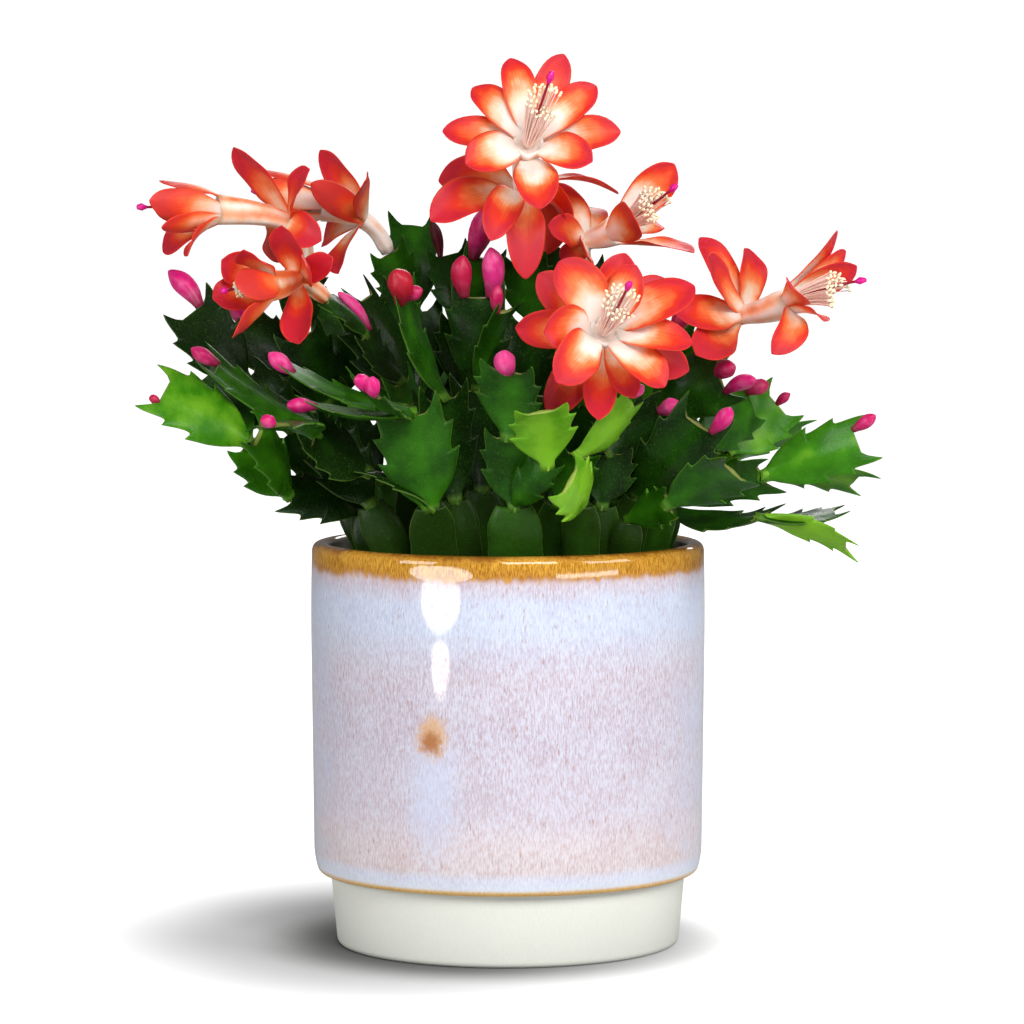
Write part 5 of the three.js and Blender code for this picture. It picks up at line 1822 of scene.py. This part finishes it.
@dataclass
class RootBall:
    """The potting soil: a packed ball of peat with an uneven top and loose crumbs."""

    sides: int = 96
    crumbs: float = 90000.0
    crumb: float = 2.2
    hill: float = 0.9
    clod: float = 0.5
    settled: float = 1.4
    seed: int = 11

    def sizes(self) -> dict[str, float]:
        """Gives the named inputs of the geometry nodes."""
        return {"Crumbs per square metre": self.crumbs, "Crumb size": self.crumb * MM}

    def tree(self) -> bpy.types.NodeTree:
        """Builds the geometry nodes that strew crumbs over the top."""
        tree, given = new_tree("crumbs", self.sizes())
        add = partial(add_node, tree)
        up = add("ShaderNodeSeparateXYZ", {0: add("GeometryNodeInputNormal")}, out="Z")
        top = add("FunctionNodeCompare", {0: up, 1: 0.5}, operation="GREATER_THAN")
        spots = add("GeometryNodeDistributePointsOnFaces", {
            "Mesh": given["Geometry"], "Selection": top, "Density": given["Crumbs per square metre"],
            "Seed": self.seed,
        })
        ball = add("GeometryNodeMeshIcoSphere", {"Radius": 0.5, "Subdivisions": 1})
        spin, stretch = (
            add("FunctionNodeRandomValue", {
                0: (low,) * 3, 1: (high,) * 3, "Seed": seed,
            }, data_type="FLOAT_VECTOR")
            for low, high, seed in ((0.0, 6.28, self.seed), (0.4, 1.5, self.seed + 1))
        )
        size = add("ShaderNodeVectorMath", {0: stretch, "Scale": given["Crumb size"]}, operation="SCALE")
        bits = add("GeometryNodeInstanceOnPoints", {
            "Points": spots, "Instance": ball, "Rotation": spin, "Scale": size,
        })
        whole = add("GeometryNodeJoinGeometry", {0: given["Geometry"]})
        tree.links.new(bits, whole.node.inputs[0])
        whole = add("GeometryNodeRealizeInstances", {0: whole})
        whole = add("GeometryNodeSetMaterial", {0: whole, "Material": PEAT.made()})
        add("NodeGroupOutput", {0: whole})
        return tree

    def build(self) -> None:
        """Makes the ball."""
        foot = POT_FLOOR + LINER_WALL + 2 * GAP
        wide = LINER_TOP_RADIUS - LINER_STEP - LINER_WALL - 1.0
        low = LINER_FOOT_RADIUS - LINER_WALL - 2 * GAP
        wall = [(low + (wide - low) * s, foot + (SOIL_TOP - foot) * s) for s in (0, 0.3, 0.6, 0.97)]
        rings = [(wide * s, SOIL_TOP) for s in np.linspace(1, 0.04, 22)]
        profile = [(0, foot), *wall, *rings, (0, SOIL_TOP)]
        shells = Shells()
        add_turned(shells, profile, self.sides)
        points = shells.points[0]
        x, y, z = points.T / MM
        hills = self.hill * np.sin(0.31 * x + 1) * np.cos(0.27 * y)
        swell = hills + self.clod * np.sin(0.9 * x + 0.7 * y) - self.settled
        points[:, 2] += np.where(z > SOIL_TOP - 1, swell, 0) * MM
        ball = shells.build("root_ball", PEAT.made())
        grow(ball, self.tree(), self.sizes())
        keep(ball, "potting_soil", "potting_soil")


@dataclass
class Studio:
    """The white sweep that the object stands on, its soft lights and the photograph's camera.

    Each light is (name, shape, place, aim, width, height, strength), in millimetres and watts. The paper
    carries a painted shadow: it is dark round the foot and turns to its own grey over shade millimetres from
    the axis. For the camera it glows white, from glow_from millimetres on.
    """

    floor: float = 60.0
    glow: float = 1.0
    shade: tuple[float, float] = (60.0, 95.0)
    greys: tuple[float, float] = (0.16, 0.64)
    glow_from: tuple[float, float] = (50.0, 150.0)
    lights: tuple[tuple[Any, ...], ...] = (
        ("shine_head", "ELLIPSE", (-375.0, -490.0, 137.0), (0.0, 0.0, 137.0), 410.0, 46.0, 0.5),
        ("shine_body", "ELLIPSE", (-375.0, -490.0, 92.0), (0.0, 0.0, 92.0), 250.0, 66.0, 0.34),
        ("shine_tail", "ELLIPSE", (-372.0, -486.0, 35.0), (0.0, 0.0, 35.0), 112.0, 36.0, 0.09),
        ("shine_right", "RECTANGLE", (436.0, -436.0, 132.0), (0.0, 0.0, 132.0), 420.0, 12.0, 0.17),
        ("key", "RECTANGLE", (350.0, -1450.0, 1020.0), (0.0, 0.0, 150.0), 900.0, 700.0, 22.0),
        ("left", "RECTANGLE", (-1400.0, -1000.0, 700.0), (0.0, 0.0, 150.0), 700.0, 700.0, 11.5),
        ("right", "RECTANGLE", (1300.0, -700.0, 750.0), (0.0, 0.0, 150.0), 800.0, 600.0, 10.5),
        ("back", "RECTANGLE", (300.0, 1500.0, 1000.0), (0.0, 0.0, 150.0), 900.0, 700.0, 9.0),
    )
    sky: float = 0.16
    backdrop: float = 1.05

    def build(self) -> None:
        """Makes the floor, the lights, the world and the camera."""
        bpy.context.scene.view_settings.view_transform = "Standard"
        self.lay_floor()
        self.hang_lights()
        self.light_sky()
        self.set_camera()

    def lay_floor(self) -> None:
        """Lays the sweep under the object."""
        mesh = bpy.data.meshes.new("studio_floor")
        half = self.floor / 2
        corners = [(x * half, y * half, 0) for x, y in ((-1, -1), (1, -1), (1, 1), (-1, 1))]
        mesh.from_pydata(corners, [], [(0, 1, 2, 3)])
        mesh.materials.append(self.paper())
        floor = bpy.data.objects.new("studio_floor", mesh)
        bpy.context.scene.collection.objects.link(floor)

    def paper(self) -> bpy.types.Material:
        """Paints the paper of the sweep, with a painted shadow round the foot."""
        paper = bpy.data.materials.new("white_paper_sweep")
        paper.use_nodes = True
        paper.node_tree.nodes.clear()
        add = partial(add_node, paper.node_tree)
        at = add("ShaderNodeTexCoord", out="Object")
        # Painted shadow: the paper's grey darkens towards the pot's foot.
        near = add("ShaderNodeVectorMath", {0: at}, out="Value", operation="LENGTH")
        near = add("ShaderNodeMapRange", {
            "Value": near, "From Min": self.shade[0] * MM, "From Max": self.shade[1] * MM,
            "To Min": self.greys[0], "To Max": self.greys[1],
        }, interpolation_type="SMOOTHSTEP")
        dull = add("ShaderNodeBsdfDiffuse", {"Color": near})
        seen = add("ShaderNodeLightPath", out="Is Camera Ray")
        far = add("ShaderNodeVectorMath", {0: at, 1: (0.038, -0.005, 0.0)}, operation="ADD")
        far = add("ShaderNodeVectorMath", {0: far, 1: (1.0, 0.8, 1.0)}, operation="MULTIPLY")
        far = add("ShaderNodeVectorMath", {0: far}, out="Value", operation="LENGTH")
        glow = add("ShaderNodeMapRange", {
            "Value": far, "From Min": self.glow_from[0] * MM, "From Max": self.glow_from[1] * MM,
            "To Max": self.glow,
        }, interpolation_type="SMOOTHSTEP")
        glow = add("ShaderNodeMath", {0: seen, 1: glow}, operation="MULTIPLY")
        glow = add("ShaderNodeEmission", {"Color": (1.0, 1.0, 1.0, 1.0), "Strength": glow})
        white = add("ShaderNodeAddShader", {0: dull, 1: glow})
        add("ShaderNodeOutputMaterial", {"Surface": white})
        return paper

    def hang_lights(self) -> None:
        """Hangs the lights, of which those named shine are seen in reflections only."""
        for name, shape, place, aim, width, height, watts in self.lights:
            light = bpy.data.lights.new(name, "AREA")
            light.shape, light.size, light.size_y, light.energy = shape, width * MM, height * MM, watts
            lamp = bpy.data.objects.new(name, light)
            lamp.location = [c * MM for c in place]
            away = lamp.location - type(lamp.location)([c * MM for c in aim])
            lamp.rotation_euler = away.to_track_quat("Z", "Y").to_euler()
            lamp.visible_diffuse = not name.startswith("shine")
            bpy.context.scene.collection.objects.link(lamp)

    def light_sky(self) -> None:
        """Sets the world, brighter for the camera than for the object."""
        world = bpy.data.worlds.new("studio")
        bpy.context.scene.world = world
        world.use_nodes = True
        world.node_tree.nodes.clear()
        add = partial(add_node, world.node_tree)
        seen = add("ShaderNodeLightPath", out="Is Camera Ray")
        strength = add("ShaderNodeMapRange", {
            "Value": seen, "To Min": self.sky, "To Max": self.backdrop,
        })
        sky = add("ShaderNodeBackground", {"Color": (1.0, 1.0, 1.0, 1.0), "Strength": strength})
        add("ShaderNodeOutputWorld", {"Surface": sky})

    def set_camera(self) -> None:
        """Sets the photograph's camera."""
        camera = bpy.data.objects.new("camera", bpy.data.cameras.new("camera"))
        camera.location = [c * MM for c in CAMERA_AT]
        camera.rotation_euler = (math.radians(90 - CAMERA_PITCH), 0, 0)
        camera.data.lens = CAMERA_LENS
        camera.data.sensor_width = 36.0
        camera.data.clip_end = 30.0
        bpy.context.scene.collection.objects.link(camera)
        bpy.context.scene.camera = camera


def main() -> None:
    """Builds the object piece by piece, then the studio round it."""
    logging.basicConfig(level=logging.INFO, format="%(message)s")
    CoverPot().build()
    GrowingPot().build()
    RootBall().build()
    grown = [back.grown(number) for number, back in enumerate(BACK_SHOOTS)]
    shoots = {shoot.name: shoot for shoot in (*SHOOTS, *grown)}
    for number, shoot in enumerate(shoots.values()):
        shoot.build(number)
    for number, bloom in enumerate(BLOOMS):
        bloom.build(number, shoots[bloom.shoot].pads()[bloom.on - 1])
    Studio().build()


if __name__ == "__main__":
    main()
